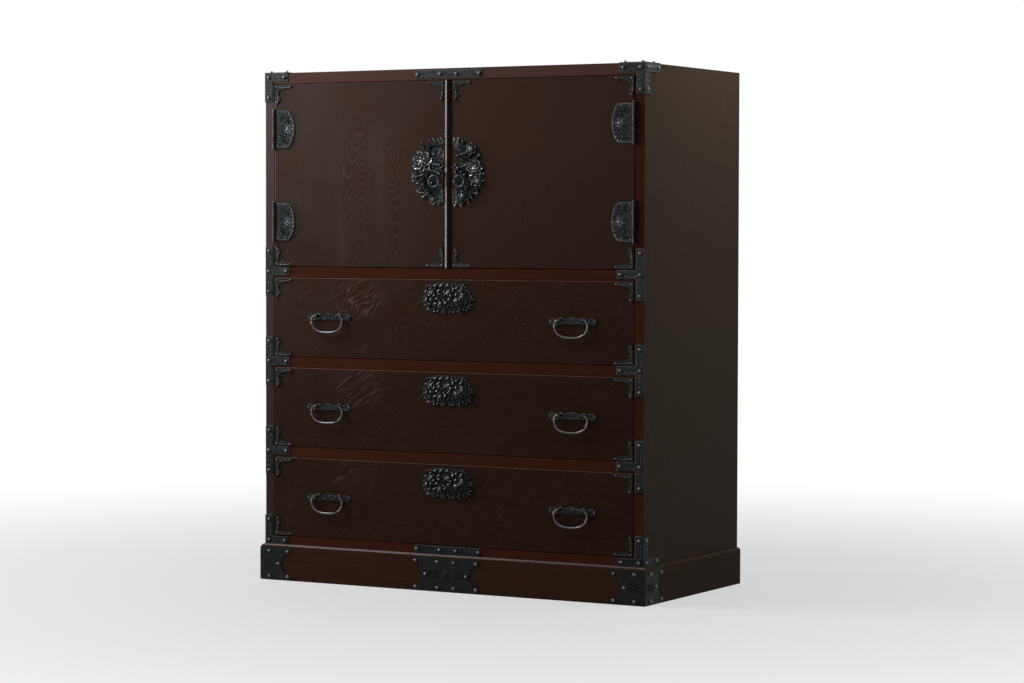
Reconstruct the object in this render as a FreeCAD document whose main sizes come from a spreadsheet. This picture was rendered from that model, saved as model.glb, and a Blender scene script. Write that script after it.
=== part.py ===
import FreeCAD, Part
import math
import os
import Sketcher
from types import SimpleNamespace

# Driving dimensions of the chest, in millimetres, one cell of the sheet each
SIZES = {
    # Carcass
    "carcass_width": 1060,
    "carcass_depth": 515,
    "carcass_height": 1175,
    "side_board": 25,
    "top_board": 27,
    "bottom_board": 21,
    "back_board": 9,
    "back_lap": 12,
    "housing_depth": 8,
    "tongue_thickness": 8,
    "tongue_height": 10,
    "tongue_setback": 24,
    # Rails, dividers and runners
    "rail_height": 25,
    "rail_depth": 60,
    "rail_tenon": 15,
    "rail_shoulder": 5,
    "panel_board": 10,
    "panel_groove": 6,
    "runner_width": 24,
    # Cupboard
    "shelf_board": 15,
    "shelf_setback": 30,
    "cleat_section": 20,
    "stop_length": 240,
    "stop_section": 20,
    "stop_clearance": 0.3,
    # Plinth
    "plinth_height": 90,
    "plinth_overhang": 9,
    "plinth_board": 34,
    "plinth_back_board": 24,
    "plinth_round": 8,
    "plinth_block": 55,
    # Doors and the strip between them
    "door_board": 22,
    "door_gap": 2,
    "door_head_gap": 1.5,
    "edge_round": 1.5,
    "strip_width": 18,
    "strip_thickness": 5,
    "strip_round": 2.5,
    # Iron fittings of the frame
    "iron_thickness": 1.6,
    "iron_width": 21,
    "corner_front_arm": 67,
    "corner_side_arm": 76,
    "corner_drop": 72,
    "foot_iron_width": 19,
    "tee_height": 121,
    "tee_arm": 71,
    "tee_lift": 2,
    "bar_width": 190,
    "bar_height": 19,
    "bar_taper": 5,
    "plinth_iron_lift": 1,
    "plinth_iron_lip": 9,
    "plinth_iron_front_length": 90,
    "plinth_iron_side_length": 90,
    "plinth_center_width": 188,
    "plinth_iron_waist": 28,
    # Dome nails
    "nail_radius": 4.5,
    "nail_edge": 9,
    "plinth_nail_inset": 26,
    "nail_pitch": 46,
    # Hinges
    "hinge_reveal": 2,
    "hinge_clear": 10.5,
    "hinge_band": 38,
    "hinge_lobe_foot": 54,
    "hinge_lobe_rise": 25,
    "hinge_lobe_radius": 55,
    "hinge_corner_radius": 24,
    "hinge_plate": 2,
    "hinge_leaf": 1.6,
    "hinge_leaf_depth": 30,
    "barrel_radius": 3.5,
    "barrel_height": 98,
    "barrel_clearance": 0.4,
    "frame_knuckle": 25,
    "knuckle_gap": 0.4,
    "hinge_pin_radius": 1.75,
    "pin_clearance": 0.05,
    "pin_head_radius": 3,
    # Corner brackets of doors and drawers
    "bracket_width": 52,
    "bracket_height": 50,
    "bracket_arm": 18,
    "bracket_lobe": 10,
    "bracket_end_radius": 13,
    "bracket_inner_radius": 13,
    "bracket_thickness": 1.6,
    # Medallion and its ring pulls
    "medallion_reach": 82,
    "medallion_rise": 76,
    "medallion_lobe_radius": 21,
    "medallion_thickness": 2.5,
    "medallion_edge": 2.5,
    "medallion_lift": 6,
    "ring_inset": 22,
    "ring_drop": 10,
    "ring_radius": 13.5,
    "ring_wire": 2.2,
    "ring_axis_out": 10,
    "ring_eye_radius": 4.5,
    "ring_eye_length": 3,
    "ring_eye_clearance": 0.5,
    "stem_shoulder": 0.2,
    # Drawers
    "drawer_gap": 1.5,
    "drawer_foot_gap": 1,
    "slide_clearance": 0.3,
    "drawer_front": 22,
    "drawer_side": 12,
    "drawer_back": 10,
    "drawer_bottom": 6,
    "drawer_bottom_lift": 7,
    "drawer_groove": 5,
    "drawer_lap": 12,
    "drawer_head_room": 14.7,
    "drawer_rear_clearance": 12,
    # Centre plate of a drawer
    "crest_half_width": 64,
    "crest_half_height": 31,
    "crest_lobe_radius": 12.5,
    "crest_drop": 44,
    "crest_thickness": 2,
    # Drawer pulls
    "pull_inset": 188,
    "pull_lift": 5,
    "pull_spacing": 60,
    "pull_plate": 2,
    "pull_half_width": 64,
    "pull_wing": 51,
    "pull_wing_top": 6,
    "pull_wing_foot": 12,
    "pull_tip_drop": 1,
    "pull_foot": 34,
    "pull_foot_drop": 10,
    "pull_crest": 9,
    "pull_hollow": 3,
    "pull_hollow_at": 24,
    "pull_tip_radius": 11,
    "pull_hollow_radius": 36,
    "pull_axis_out": 11,
    "pull_eye_radius": 5,
    "pull_eye_length": 6,
    "bail_width": 96,
    "bail_drop": 39.5,
    "bail_wire": 2.75,
    "bail_shoulder": 12,
    "bail_bend": 18.5,
    "bail_pin_end": 1.5,
    "bail_clearance": 0.08,
}

BACK_BOARDS = 4
DRAWER_SHARE = 199 / 1052
MEDALLION_LOBES = 7
CREST_LOBES = 18
CREST_SQUARENESS = 0.8
CREST_SPREAD = 0.2
DRAWERS = ("lower", "middle", "upper")

doc = FreeCAD.newDocument("tansu_chest")
sheet = doc.addObject("Spreadsheet::Sheet", "sizes")
for row, (name, number) in enumerate(SIZES.items(), start=1):
    sheet.set(f"A{row}", name)
    sheet.set(f"B{row}", str(number))
    sheet.setAlias(f"B{row}", name)
doc.recompute()


class Size:
    """A length written once: its formula binds the document, its value draws the first sketch."""

    def __init__(self, text, value):
        self.text = text
        self.value = value

    def joined(self, sign, other, value):
        return Size(f"({self.text} {sign} {other.text})", value)

    def __add__(self, other):
        other = as_size(other)
        return self.joined("+", other, self.value + other.value)

    def __sub__(self, other):
        other = as_size(other)
        return self.joined("-", other, self.value - other.value)

    def __mul__(self, other):
        other = as_size(other)
        return self.joined("*", other, self.value * other.value)

    def __truediv__(self, other):
        other = as_size(other)
        return self.joined("/", other, self.value / other.value)

    def __radd__(self, other):
        return as_size(other) + self

    def __rsub__(self, other):
        return as_size(other) - self

    def __rmul__(self, other):
        return as_size(other) * self

    def __neg__(self):
        return Size(f"(0 - {self.text})", -self.value)


def as_size(number):
    if isinstance(number, Size):
        return number
    return Size(f"({number:.9f})", float(number))


S = SimpleNamespace(**{name: Size(f"sizes.{name}", float(sheet.get(name))) for name in SIZES})

UPRIGHT = FreeCAD.Rotation()
FORWARD = FreeCAD.Rotation(FreeCAD.Vector(1, 0, 0), 90)
LEFTWARD = FreeCAD.Rotation(FreeCAD.Vector(0, 1, 0), -90)
RIGHTWARD = FreeCAD.Rotation(FreeCAD.Vector(0, 1, 0), 90)

nodes = []


def node(label, thing):
    """Keep a finished sub-part under the name of its file."""
    thing.Label = label
    nodes.append(thing)
    return thing


def group(label, things):
    """Keep several like pieces as separate solids of one sub-part."""
    gathered = doc.addObject("Part::Compound", label)
    gathered.Links = things
    return node(label, gathered)


def bind(thing, prop, size):
    thing.setExpression(prop, as_size(size).text)


def place(thing, at, turn=UPRIGHT):
    thing.Placement = FreeCAD.Placement(FreeCAD.Vector(), turn)
    for axis, size in zip("xyz", at):
        bind(thing, f"Placement.Base.{axis}", size)


def block(name, low, high):
    """A straight board between two opposite corners."""
    board = doc.addObject("Part::Box", name)
    for prop, start, end in zip(("Length", "Width", "Height"), low, high):
        bind(board, prop, as_size(end) - start)
    place(board, low)
    return board


def rod(name, radius, length, at, turn):
    """A round bar that starts at a point and runs along the turned axis."""
    bar = doc.addObject("Part::Cylinder", name)
    bind(bar, "Radius", radius)
    bind(bar, "Height", length)
    place(bar, at, turn)
    return bar


def dome(name, radius, at, turn):
    """A half ball standing on its flat face."""
    ball = doc.addObject("Part::Sphere", name)
    bind(ball, "Radius", radius)
    ball.Angle1 = 0
    place(ball, at, turn)
    return ball


def fuse(name, things):
    joined = doc.addObject("Part::MultiFuse", name)
    joined.Shapes = things
    return joined


def cut(name, base, waste):
    """A piece with one or more others taken out of it."""
    cleared = doc.addObject("Part::Cut", name)
    cleared.Base = base
    cleared.Tool = waste[0] if len(waste) == 1 else fuse(f"{name}_waste", waste)
    return cleared


def mirrored(thing):
    """The same piece for the other hand, across the middle of the chest."""
    twin = doc.addObject("Part::Mirroring", f"{thing.Name}_twin")
    twin.Source = thing
    twin.Base = (0, 0, 0)
    twin.Normal = (1, 0, 0)
    return twin


def origin_plane(body, role):
    return next(feature for feature in body.Origin.OriginFeatures if feature.Role == role)


def new_sketch(body, name, role):
    sketch = body.newObject("Sketcher::SketchObject", name)
    sketch.AttachmentSupport = [(origin_plane(body, role), "")]
    sketch.MapMode = "FlatFace"
    return sketch


def bound_constraint(sketch, kind, where, size):
    index = sketch.addConstraint(Sketcher.Constraint(kind, *where, size.value))
    sketch.setExpression(f"Constraints[{index}]", size.text)


def arc_between(start, end, radius):
    """The shorter arc that runs anticlockwise from one point to another."""
    chord = end - start
    middle = (start + end) * 0.5
    inward = FreeCAD.Vector(-chord.y, chord.x, 0).normalize()
    center = middle + inward * math.sqrt(radius**2 - (chord.Length / 2) ** 2)
    circle = Part.Circle(center, FreeCAD.Vector(0, 0, 1), radius)
    first = math.atan2(start.y - center.y, start.x - center.x)
    last = math.atan2(end.y - center.y, end.x - center.x)
    return Part.ArcOfCircle(circle, first, last)


def draw(sketch, corners, closed=True):
    """Draw an outline anticlockwise. A corner is (u, v), (u, v, "out", r) or (u, v, "in", r).

    The last two say that the edge leaving the corner is an arc that bulges out or in.
    """
    points = [FreeCAD.Vector(as_size(c[0]).value, as_size(c[1]).value, 0) for c in corners]
    edges = len(corners) if closed else len(corners) - 1
    ends = []
    for index in range(edges):
        start = points[index]
        end = points[(index + 1) % len(points)]
        bulge = corners[index][2:]
        if not bulge:
            sketch.addGeometry(Part.LineSegment(start, end), False)
            ends.append((1, 2))
            continue
        way, radius = bulge
        outward = way == "out"
        curve = arc_between(start, end, radius.value) if outward else arc_between(end, start, radius.value)
        sketch.addGeometry(curve, False)
        ends.append((1, 2) if outward else (2, 1))
    for index in range(edges if closed else edges - 1):
        following = (index + 1) % edges
        sketch.addConstraint(
            Sketcher.Constraint("Coincident", index, ends[index][1], following, ends[following][0])
        )
    for index, corner in enumerate(corners):
        edge = min(index, edges - 1)
        end = ends[edge][0] if index < edges else ends[edge][1]
        bound_constraint(sketch, "DistanceX", (-1, 1, edge, end), as_size(corner[0]))
        bound_constraint(sketch, "DistanceY", (-1, 1, edge, end), as_size(corner[1]))
    for index in range(edges):
        if len(corners[index]) > 2:
            bound_constraint(sketch, "Radius", (index,), corners[index][3])


def pad(body, role, corners, length, reverse=False):
    """Draw an outline on one of a body's planes and raise it."""
    serial = len(body.Group)
    sketch = new_sketch(body, f"{body.Name}_outline_{serial}", role)
    draw(sketch, corners)
    raised = body.newObject("PartDesign::Pad", f"{body.Name}_pad_{serial}")
    raised.Profile = sketch
    bind(raised, "Length", length)
    raised.Reversed = reverse
    return raised


def plate(name, role, corners, thickness, at):
    """A flat piece of one outline. Drawn on XZ, it grows towards the front."""
    body = doc.addObject("PartDesign::Body", name)
    pad(body, role, corners, thickness)
    place(body, at)
    return body


def rounded(body, raised, radius, chosen):
    """Round the edges of a pad whose two ends both lie where chosen says."""
    doc.recompute()
    names = []
    for index, edge in enumerate(raised.Shape.Edges, start=1):
        if all(chosen(vertex.Point) for vertex in edge.Vertexes):
            names.append(f"Edge{index}")
    eased = body.newObject("PartDesign::Fillet", f"{body.Name}_round")
    eased.Base = (raised, names)
    bind(eased, "Radius", radius)
    return eased


def close(value, size):
    return abs(value - as_size(size).value) < 1e-6


def rectangle(low_u, low_v, high_u, high_v):
    return [(low_u, low_v), (high_u, low_v), (high_u, high_v), (low_u, high_v)]


# Main planes: the pulls reach furthest forward, and the box of the whole chest is centred
front_reach = S.pull_axis_out + S.pull_eye_radius
front = (front_reach - S.carcass_depth) / 2
back = front + S.carcass_depth
inner_back = back - S.back_board
left = -S.carcass_width / 2
right = S.carcass_width / 2
inner_left = left + S.side_board
inner_right = right - S.side_board
base = S.plinth_height
floor_top = base + S.bottom_board
top = base + S.carcass_height
under_top = top - S.top_board
open_height = S.carcass_height - S.top_board - S.bottom_board - S.rail_height * len(DRAWERS)
drawer_opening = open_height * DRAWER_SHARE
bay = drawer_opening + S.rail_height
drawer_foot = [floor_top + bay * count for count in range(len(DRAWERS))]
rail_foot = [foot + drawer_opening for foot in drawer_foot]
cupboard_foot = rail_foot[-1] + S.rail_height
panel_rise = (S.rail_height - S.panel_board) / 2

# Carcass boards

tongue_left = left + (S.side_board - S.tongue_thickness) / 2
tongue_low = (tongue_left, front + S.tongue_setback, under_top)
tongue_high = (
    tongue_left + S.tongue_thickness,
    back - S.tongue_setback,
    under_top + S.tongue_height,
)
lap_left = inner_left - S.back_lap
housed_left = inner_left - S.housing_depth

top_blank = block("top_board_blank", (left, front, under_top), (right, back, top))
top_groove = block("top_board_groove", tongue_low, tongue_high)
top_rabbet = block(
    "top_board_rabbet",
    (lap_left, inner_back, under_top),
    (-lap_left, back, under_top + S.back_lap),
)
node("top_board", cut("top_board", top_blank, [top_groove, mirrored(top_groove), top_rabbet]))


def rail_tenon(name, foot):
    """The stub tenon that carries a rail, through the rail and into both side boards."""
    low = (inner_left - S.rail_tenon, front + S.rail_shoulder, foot + S.rail_shoulder)
    high = (
        inner_right + S.rail_tenon,
        front + S.rail_depth - S.panel_groove - S.rail_shoulder,
        foot + S.rail_height - S.rail_shoulder,
    )
    return block(name, low, high)


def divider_panel(name, foot, edge):
    """A panel that lies in the grooves behind a rail, out to one edge and its mirror."""
    low = (edge, front + S.rail_depth - S.panel_groove, foot + panel_rise)
    return block(name, low, (-edge, inner_back, foot + panel_rise + S.panel_board))


door_foot = cupboard_foot + S.door_head_gap
door_top = under_top - S.door_head_gap
hinge_inset = S.edge_round + S.bracket_height + S.hinge_clear + S.barrel_height / 2
hinge_heights = [door_foot + hinge_inset, door_top - hinge_inset]

side_blank = fuse(
    "side_board_blank",
    [
        block("side_board_plank", (left, front, base), (inner_left, back, under_top)),
        block("side_board_tongue", tongue_low, tongue_high),
    ],
)
side_waste = [
    block("side_board_rabbet", (lap_left, inner_back, base), (inner_left, back, under_top)),
    block("side_board_housing", (housed_left, front, base), (inner_left, inner_back, floor_top)),
    divider_panel("side_board_dado", rail_foot[-1], housed_left),
]
side_waste += [rail_tenon(f"side_board_mortise_{i}", foot) for i, foot in enumerate(rail_foot)]
for count, height in enumerate(hinge_heights):
    side_waste.append(
        block(
            f"side_board_hinge_seat_{count}",
            (inner_left - S.hinge_leaf, front, height - S.barrel_height / 2),
            (inner_left, front + S.hinge_leaf_depth, height + S.barrel_height / 2),
        )
    )
left_side = node("left_side_board", cut("left_side_board", side_blank, side_waste))
node("right_side_board", mirrored(left_side))

node(
    "bottom_board",
    block("bottom_board", (housed_left, front, base), (-housed_left, inner_back, floor_top)),
)

back_width = -2 * lap_left / BACK_BOARDS
group(
    "back_boards",
    [
        block(
            f"back_board_{count}",
            (lap_left + back_width * count, inner_back, base),
            (lap_left + back_width * (count + 1), back, under_top + S.back_lap),
        )
        for count in range(BACK_BOARDS)
    ],
)

# Rails, cupboard floor, dust panels and runners


def grooved_section(width):
    """A bar's section with the groove that holds a panel along its far edge."""
    return [
        (0, 0),
        (width, 0),
        (width, panel_rise),
        (width - S.panel_groove, panel_rise),
        (width - S.panel_groove, panel_rise + S.panel_board),
        (width, panel_rise + S.panel_board),
        (width, S.rail_height),
        (0, S.rail_height),
    ]


def front_rail(count, foot):
    inner_width = inner_right - inner_left
    bar = plate(
        f"rail_bar_{count}",
        "YZ_Plane",
        grooved_section(S.rail_depth),
        inner_width,
        (inner_left, front, foot),
    )
    return fuse(f"front_rail_{count}", [bar, rail_tenon(f"rail_tenon_{count}", foot)])


group("front_rails", [front_rail(count, foot) for count, foot in enumerate(rail_foot)])
node("cupboard_floor", divider_panel("cupboard_floor", rail_foot[-1], housed_left))

panel_edge = inner_left + S.runner_width - S.panel_groove
group(
    "dust_panels",
    [divider_panel(f"dust_panel_{i}", foot, panel_edge) for i, foot in enumerate(rail_foot[:-1])],
)

runners = []
for count, foot in enumerate(rail_foot[:-1]):
    runner = plate(
        f"drawer_runner_{count}",
        "XZ_Plane",
        grooved_section(S.runner_width),
        inner_back - front - S.rail_depth,
        (inner_left, inner_back, foot),
    )
    runners += [runner, mirrored(runner)]
group("drawer_runners", runners)

# Inside the cupboard: a shelf on two cleats, and a stop for the doors

shelf_front = front + S.door_board + S.shelf_setback
shelf_foot = (cupboard_foot + under_top - S.shelf_board) / 2
node(
    "cupboard_shelf",
    block(
        "cupboard_shelf",
        (inner_left, shelf_front, shelf_foot),
        (inner_right, inner_back, shelf_foot + S.shelf_board),
    ),
)
cleat = block(
    "shelf_cleat",
    (inner_left, shelf_front, shelf_foot - S.cleat_section),
    (inner_left + S.cleat_section, inner_back, shelf_foot),
)
group("shelf_cleats", [cleat, mirrored(cleat)])
stop_front = front + S.door_board + S.stop_clearance
node(
    "door_stop",
    block(
        "door_stop",
        (-S.stop_length / 2, stop_front, under_top - S.stop_section),
        (S.stop_length / 2, stop_front + S.stop_section, under_top),
    ),
)

# Plinth: mitred boards with a rounded top edge, a back board and corner blocks

plinth_left = left - S.plinth_overhang
plinth_front = front - S.plinth_overhang
plinth_inner_left = plinth_left + S.plinth_board
plinth_inner_front = plinth_front + S.plinth_board


def plinth_board(name, corners, chosen):
    body = doc.addObject("PartDesign::Body", name)
    raised = pad(body, "XY_Plane", corners, S.plinth_height)
    rounded(body, raised, S.plinth_round, lambda p: close(p.z, S.plinth_height) and chosen(p))
    return body


node(
    "plinth_front_board",
    plinth_board(
        "plinth_front_board",
        [
            (plinth_left, plinth_front),
            (-plinth_left, plinth_front),
            (-plinth_inner_left, plinth_inner_front),
            (plinth_inner_left, plinth_inner_front),
        ],
        lambda p: close(p.y, plinth_front),
    ),
)
plinth_side = plinth_board(
    "plinth_left_board",
    [
        (plinth_left, plinth_front),
        (plinth_inner_left, plinth_inner_front),
        (plinth_inner_left, back),
        (plinth_left, back),
    ],
    lambda p: close(p.x, plinth_left),
)
group("plinth_side_boards", [plinth_side, mirrored(plinth_side)])
plinth_rear = back - S.plinth_back_board
node(
    "plinth_back_board",
    block(
        "plinth_back_board",
        (plinth_inner_left, plinth_rear, 0),
        (-plinth_inner_left, back, S.plinth_height),
    ),
)
front_block = plate(
    "plinth_front_block",
    "XY_Plane",
    [(0, 0), (S.plinth_block, 0), (0, S.plinth_block)],
    S.plinth_height,
    (plinth_inner_left, plinth_inner_front, 0),
)
rear_block = plate(
    "plinth_rear_block",
    "XY_Plane",
    [(0, 0), (0, -S.plinth_block), (S.plinth_block, 0)],
    S.plinth_height,
    (plinth_inner_left, plinth_rear, 0),
)
group(
    "plinth_corner_blocks",
    [front_block, mirrored(front_block), rear_block, mirrored(rear_block)],
)

# Iron on the frame, with the places of its dome nails

nails = []


def nail(at, turn, pair=True):
    """A dome nail, and its twin on the other half of the chest."""
    head = dome(f"nail_{len(nails)}", S.nail_radius, at, turn)
    nails.append(head)
    if pair:
        nails.append(mirrored(head))


def ell(foot, arm, drop, width, lift):
    """An L with its corner at the top: a level arm, and a leg hanging down. Foot is its outer edge."""
    return [(foot, -drop), (width, -drop), (width, -width), (arm, -width), (arm, lift), (foot, lift)]


iron = S.iron_thickness
half_iron = S.iron_width / 2

corner = doc.addObject("PartDesign::Body", "top_corner_left")
pad(corner, "XZ_Plane", ell(-iron, S.corner_front_arm, S.corner_drop, S.iron_width, iron), iron)
pad(corner, "YZ_Plane", ell(0, S.corner_side_arm, S.corner_drop, S.iron_width, iron), iron, True)
pad(
    corner,
    "XY_Plane",
    [
        (0, 0),
        (S.corner_front_arm, 0),
        (S.corner_front_arm, S.iron_width),
        (S.iron_width, S.iron_width),
        (S.iron_width, S.corner_side_arm),
        (0, S.corner_side_arm),
    ],
    iron,
)
place(corner, (left, front, top))
group("top_corner_fittings", [corner, mirrored(corner)])

front_arm_nail = S.corner_front_arm - half_iron
side_arm_nail = S.corner_side_arm - half_iron
drop_nail = S.corner_drop - half_iron
for along, down in ((half_iron, half_iron), (front_arm_nail, half_iron), (half_iron, drop_nail)):
    nail((left + along, front - iron, top - down), FORWARD)
for along, down in ((half_iron, half_iron), (side_arm_nail, half_iron), (half_iron, drop_nail)):
    nail((left - iron, front + along, top - down), LEFTWARD)
for along, inward in ((half_iron, half_iron), (front_arm_nail, half_iron), (half_iron, side_arm_nail)):
    nail((left + along, front + inward, top + iron), UPRIGHT)


def foot_ell(foot, arm):
    """An L with its corner at the bottom, for the foot of the carcass."""
    width = S.foot_iron_width
    return [
        (foot, 0),
        (arm, 0),
        (arm, width),
        (S.iron_width, width),
        (S.iron_width, S.corner_drop),
        (foot, S.corner_drop),
    ]


foot_corner = doc.addObject("PartDesign::Body", "bottom_corner_left")
pad(foot_corner, "XZ_Plane", foot_ell(-iron, S.corner_front_arm), iron)
pad(foot_corner, "YZ_Plane", foot_ell(0, S.corner_side_arm), iron, True)
place(foot_corner, (left, front, base))
group("bottom_corner_fittings", [foot_corner, mirrored(foot_corner)])

half_foot = S.foot_iron_width / 2
for along, up in ((half_iron, half_foot), (front_arm_nail, half_foot), (half_iron, drop_nail)):
    nail((left + along, front - iron, base + up), FORWARD)
for along, up in ((half_iron, half_foot), (side_arm_nail, half_foot), (half_iron, drop_nail)):
    nail((left - iron, front + along, base + up), LEFTWARD)


def tee_outline():
    half_height = S.tee_height / 2
    return [
        (0, -half_height),
        (S.iron_width, -half_height),
        (S.iron_width, -half_iron),
        (S.tee_arm, -half_iron),
        (S.tee_arm, half_iron),
        (S.iron_width, half_iron),
        (S.iron_width, half_height),
        (0, half_height),
    ]


tees = []
tee_end = S.tee_height / 2 - half_iron
for count, foot in enumerate(rail_foot):
    middle = foot + S.rail_height / 2 + S.tee_lift
    tee = plate(f"rail_tee_{count}", "XZ_Plane", tee_outline(), iron, (left, front, middle))
    tees += [tee, mirrored(tee)]
    for along, up in ((half_iron, -tee_end), (half_iron, 0), (half_iron, tee_end), (S.tee_arm - S.nail_edge, 0)):
        nail((left + along, front - iron, middle + up), FORWARD)
group("rail_tee_fittings", tees)

half_bar = S.bar_width / 2
outer_nail = half_bar - S.nail_edge
inner_nail = S.nail_pitch / 2
bars = []
for name, middle in (("top", top - S.top_board / 2), ("bottom", base + S.bottom_board / 2)):
    outline = [
        (S.bar_taper - half_bar, -S.bar_height / 2),
        (half_bar - S.bar_taper, -S.bar_height / 2),
        (half_bar, S.bar_height / 2),
        (-half_bar, S.bar_height / 2),
    ]
    bars.append(plate(f"{name}_center_bar", "XZ_Plane", outline, iron, (0, front, middle)))
    for along in (outer_nail, inner_nail):
        nail((along, front - iron, middle), FORWARD)
group("center_bar_fittings", bars)

plinth_iron_top = S.plinth_height - S.plinth_round
plinth_iron_middle = (S.plinth_iron_lift + plinth_iron_top) / 2
waist_low = S.plinth_iron_lift + S.plinth_iron_lip
waist_high = plinth_iron_top - S.plinth_iron_lip
half_chord = (waist_high - waist_low) / 2
waist_radius = (half_chord * half_chord / S.plinth_iron_waist + S.plinth_iron_waist) / 2
plinth_nail_rows = (S.plinth_iron_lift + S.nail_edge, plinth_iron_top - S.nail_edge)


def waisted_edge(at):
    """The hollowed upright edge of a plinth plate, from the bottom up."""
    return [
        (at, S.plinth_iron_lift),
        (at, waist_low, "in", waist_radius),
        (at, waist_high),
        (at, plinth_iron_top),
    ]


def waisted_corner(foot, reach):
    return [*waisted_edge(reach), (foot, plinth_iron_top), (foot, S.plinth_iron_lift)]


plinth_corner = doc.addObject("PartDesign::Body", "plinth_corner_left")
pad(plinth_corner, "XZ_Plane", waisted_corner(-iron, S.plinth_iron_front_length), iron)
pad(plinth_corner, "YZ_Plane", waisted_corner(0, S.plinth_iron_side_length), iron, True)
place(plinth_corner, (plinth_left, plinth_front, 0))
group("plinth_corner_fittings", [plinth_corner, mirrored(plinth_corner)])


def corner_nails(reach):
    """Nail places on one face of a plinth corner, as (along, up)."""
    rows = [(S.plinth_nail_inset, up) for up in plinth_nail_rows]
    rows += [(reach - S.nail_edge, up) for up in plinth_nail_rows]
    return [*rows, (reach - S.plinth_iron_waist - S.nail_edge, plinth_iron_middle)]


for along, up in corner_nails(S.plinth_iron_front_length):
    nail((plinth_left + along, plinth_front - iron, up), FORWARD)
for along, up in corner_nails(S.plinth_iron_side_length):
    nail((plinth_left - iron, plinth_front + along, up), LEFTWARD)

half_center = S.plinth_center_width / 2
center_outline = [
    *waisted_edge(half_center),
    (-half_center, plinth_iron_top),
    (-half_center, waist_high, "in", waist_radius),
    (-half_center, waist_low),
    (-half_center, S.plinth_iron_lift),
]
node(
    "plinth_center_fitting",
    plate("plinth_center_fitting", "XZ_Plane", center_outline, iron, (0, plinth_front, 0)),
)
for along in (half_center - S.nail_edge, inner_nail):
    for up in plinth_nail_rows:
        nail((along, plinth_front - iron, up), FORWARD)
waist_nail = half_center - S.plinth_iron_waist - S.nail_edge
nail((waist_nail, plinth_front - iron, plinth_iron_middle), FORWARD)
group("dome_nails", nails)

# Hinges: a leaf let into the side board, a lobed plate on the door, three knuckles and a pin

axis_x = inner_left - S.hinge_leaf + S.barrel_radius
axis_y = front - S.barrel_radius - S.barrel_clearance
half_barrel = S.barrel_height / 2
half_door_knuckle = half_barrel - S.frame_knuckle - S.knuckle_gap
bore_radius = S.hinge_pin_radius + S.pin_clearance
half_plate = half_barrel - S.hinge_reveal


def barrel(name, low, high, radius, height):
    return rod(name, radius, high - low, (axis_x, axis_y, height + low), UPRIGHT)


def hinge_bore(name, height):
    return barrel(name, -half_barrel, half_barrel, bore_radius, height)


def knuckle_room(name, low, high, height):
    """The room that one leaf leaves round the other leaf's knuckle."""
    room = S.barrel_radius + S.knuckle_gap
    return block(
        name,
        (axis_x - room, axis_y - room, height + low),
        (axis_x + room, front, height + high),
    )


def frame_leaf(count, height):
    name = f"frame_leaf_{count}"
    leaf = block(
        f"{name}_plate",
        (inner_left - S.hinge_leaf, axis_y, height - half_barrel),
        (inner_left, front + S.hinge_leaf_depth, height + half_barrel),
    )
    inner_end = half_barrel - S.frame_knuckle
    knuckles = [
        barrel(f"{name}_upper", inner_end, half_barrel, S.barrel_radius, height),
        barrel(f"{name}_lower", -half_barrel, -inner_end, S.barrel_radius, height),
    ]
    waste = [
        hinge_bore(f"{name}_bore", height),
        knuckle_room(f"{name}_room", -inner_end, inner_end, height),
    ]
    return cut(name, fuse(f"{name}_blank", [leaf, *knuckles]), waste)


def door_leaf(count, height):
    name = f"door_leaf_{count}"
    outline = [
        (0, -half_plate),
        (S.hinge_band, -half_plate, "out", S.hinge_corner_radius),
        (S.hinge_lobe_foot, -S.hinge_lobe_rise, "out", S.hinge_lobe_radius),
        (S.hinge_lobe_foot, S.hinge_lobe_rise, "out", S.hinge_corner_radius),
        (S.hinge_band, half_plate),
        (0, half_plate),
    ]
    flat = plate(f"{name}_plate", "XZ_Plane", outline, S.hinge_plate, (axis_x, front, height))
    knuckle = barrel(f"{name}_knuckle", -half_door_knuckle, half_door_knuckle, S.barrel_radius, height)
    waste = [
        hinge_bore(f"{name}_bore", height),
        knuckle_room(f"{name}_upper_room", half_door_knuckle, half_barrel, height),
        knuckle_room(f"{name}_lower_room", -half_barrel, -half_door_knuckle, height),
    ]
    return cut(name, fuse(f"{name}_blank", [flat, knuckle]), waste)


def hinge_pin(count, height):
    name = f"hinge_pin_{count}"
    head = dome(f"{name}_head", S.pin_head_radius, (axis_x, axis_y, height + half_barrel), UPRIGHT)
    foot_turn = FreeCAD.Rotation(FreeCAD.Vector(1, 0, 0), 180)
    foot = dome(f"{name}_foot", S.pin_head_radius, (axis_x, axis_y, height - half_barrel), foot_turn)
    shank = barrel(f"{name}_shank", -half_barrel, half_barrel, S.hinge_pin_radius, height)
    return fuse(name, [head, shank, foot])


frame_leaves = [frame_leaf(count, height) for count, height in enumerate(hinge_heights)]
door_leaves = [door_leaf(count, height) for count, height in enumerate(hinge_heights)]
pins = [hinge_pin(count, height) for count, height in enumerate(hinge_heights)]
group("frame_hinge_leaves", frame_leaves + [mirrored(leaf) for leaf in frame_leaves])
group("hinge_pins", pins + [mirrored(pin) for pin in pins])
group("left_door_hinge_leaves", door_leaves)
group("right_door_hinge_leaves", [mirrored(leaf) for leaf in door_leaves])

# Doors and the strip that covers their meeting edges


def eased_board(name, low_x, high_x, low_z, high_z, thickness):
    """A board whose face lies in the front plane, with its front edges eased."""
    body = doc.addObject("PartDesign::Body", name)
    raised = pad(body, "XZ_Plane", rectangle(low_x, low_z, high_x, high_z), thickness)
    rounded(body, raised, S.edge_round, lambda p: close(-p.y, thickness))
    place(body, (0, front + thickness, 0))
    return body


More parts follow.
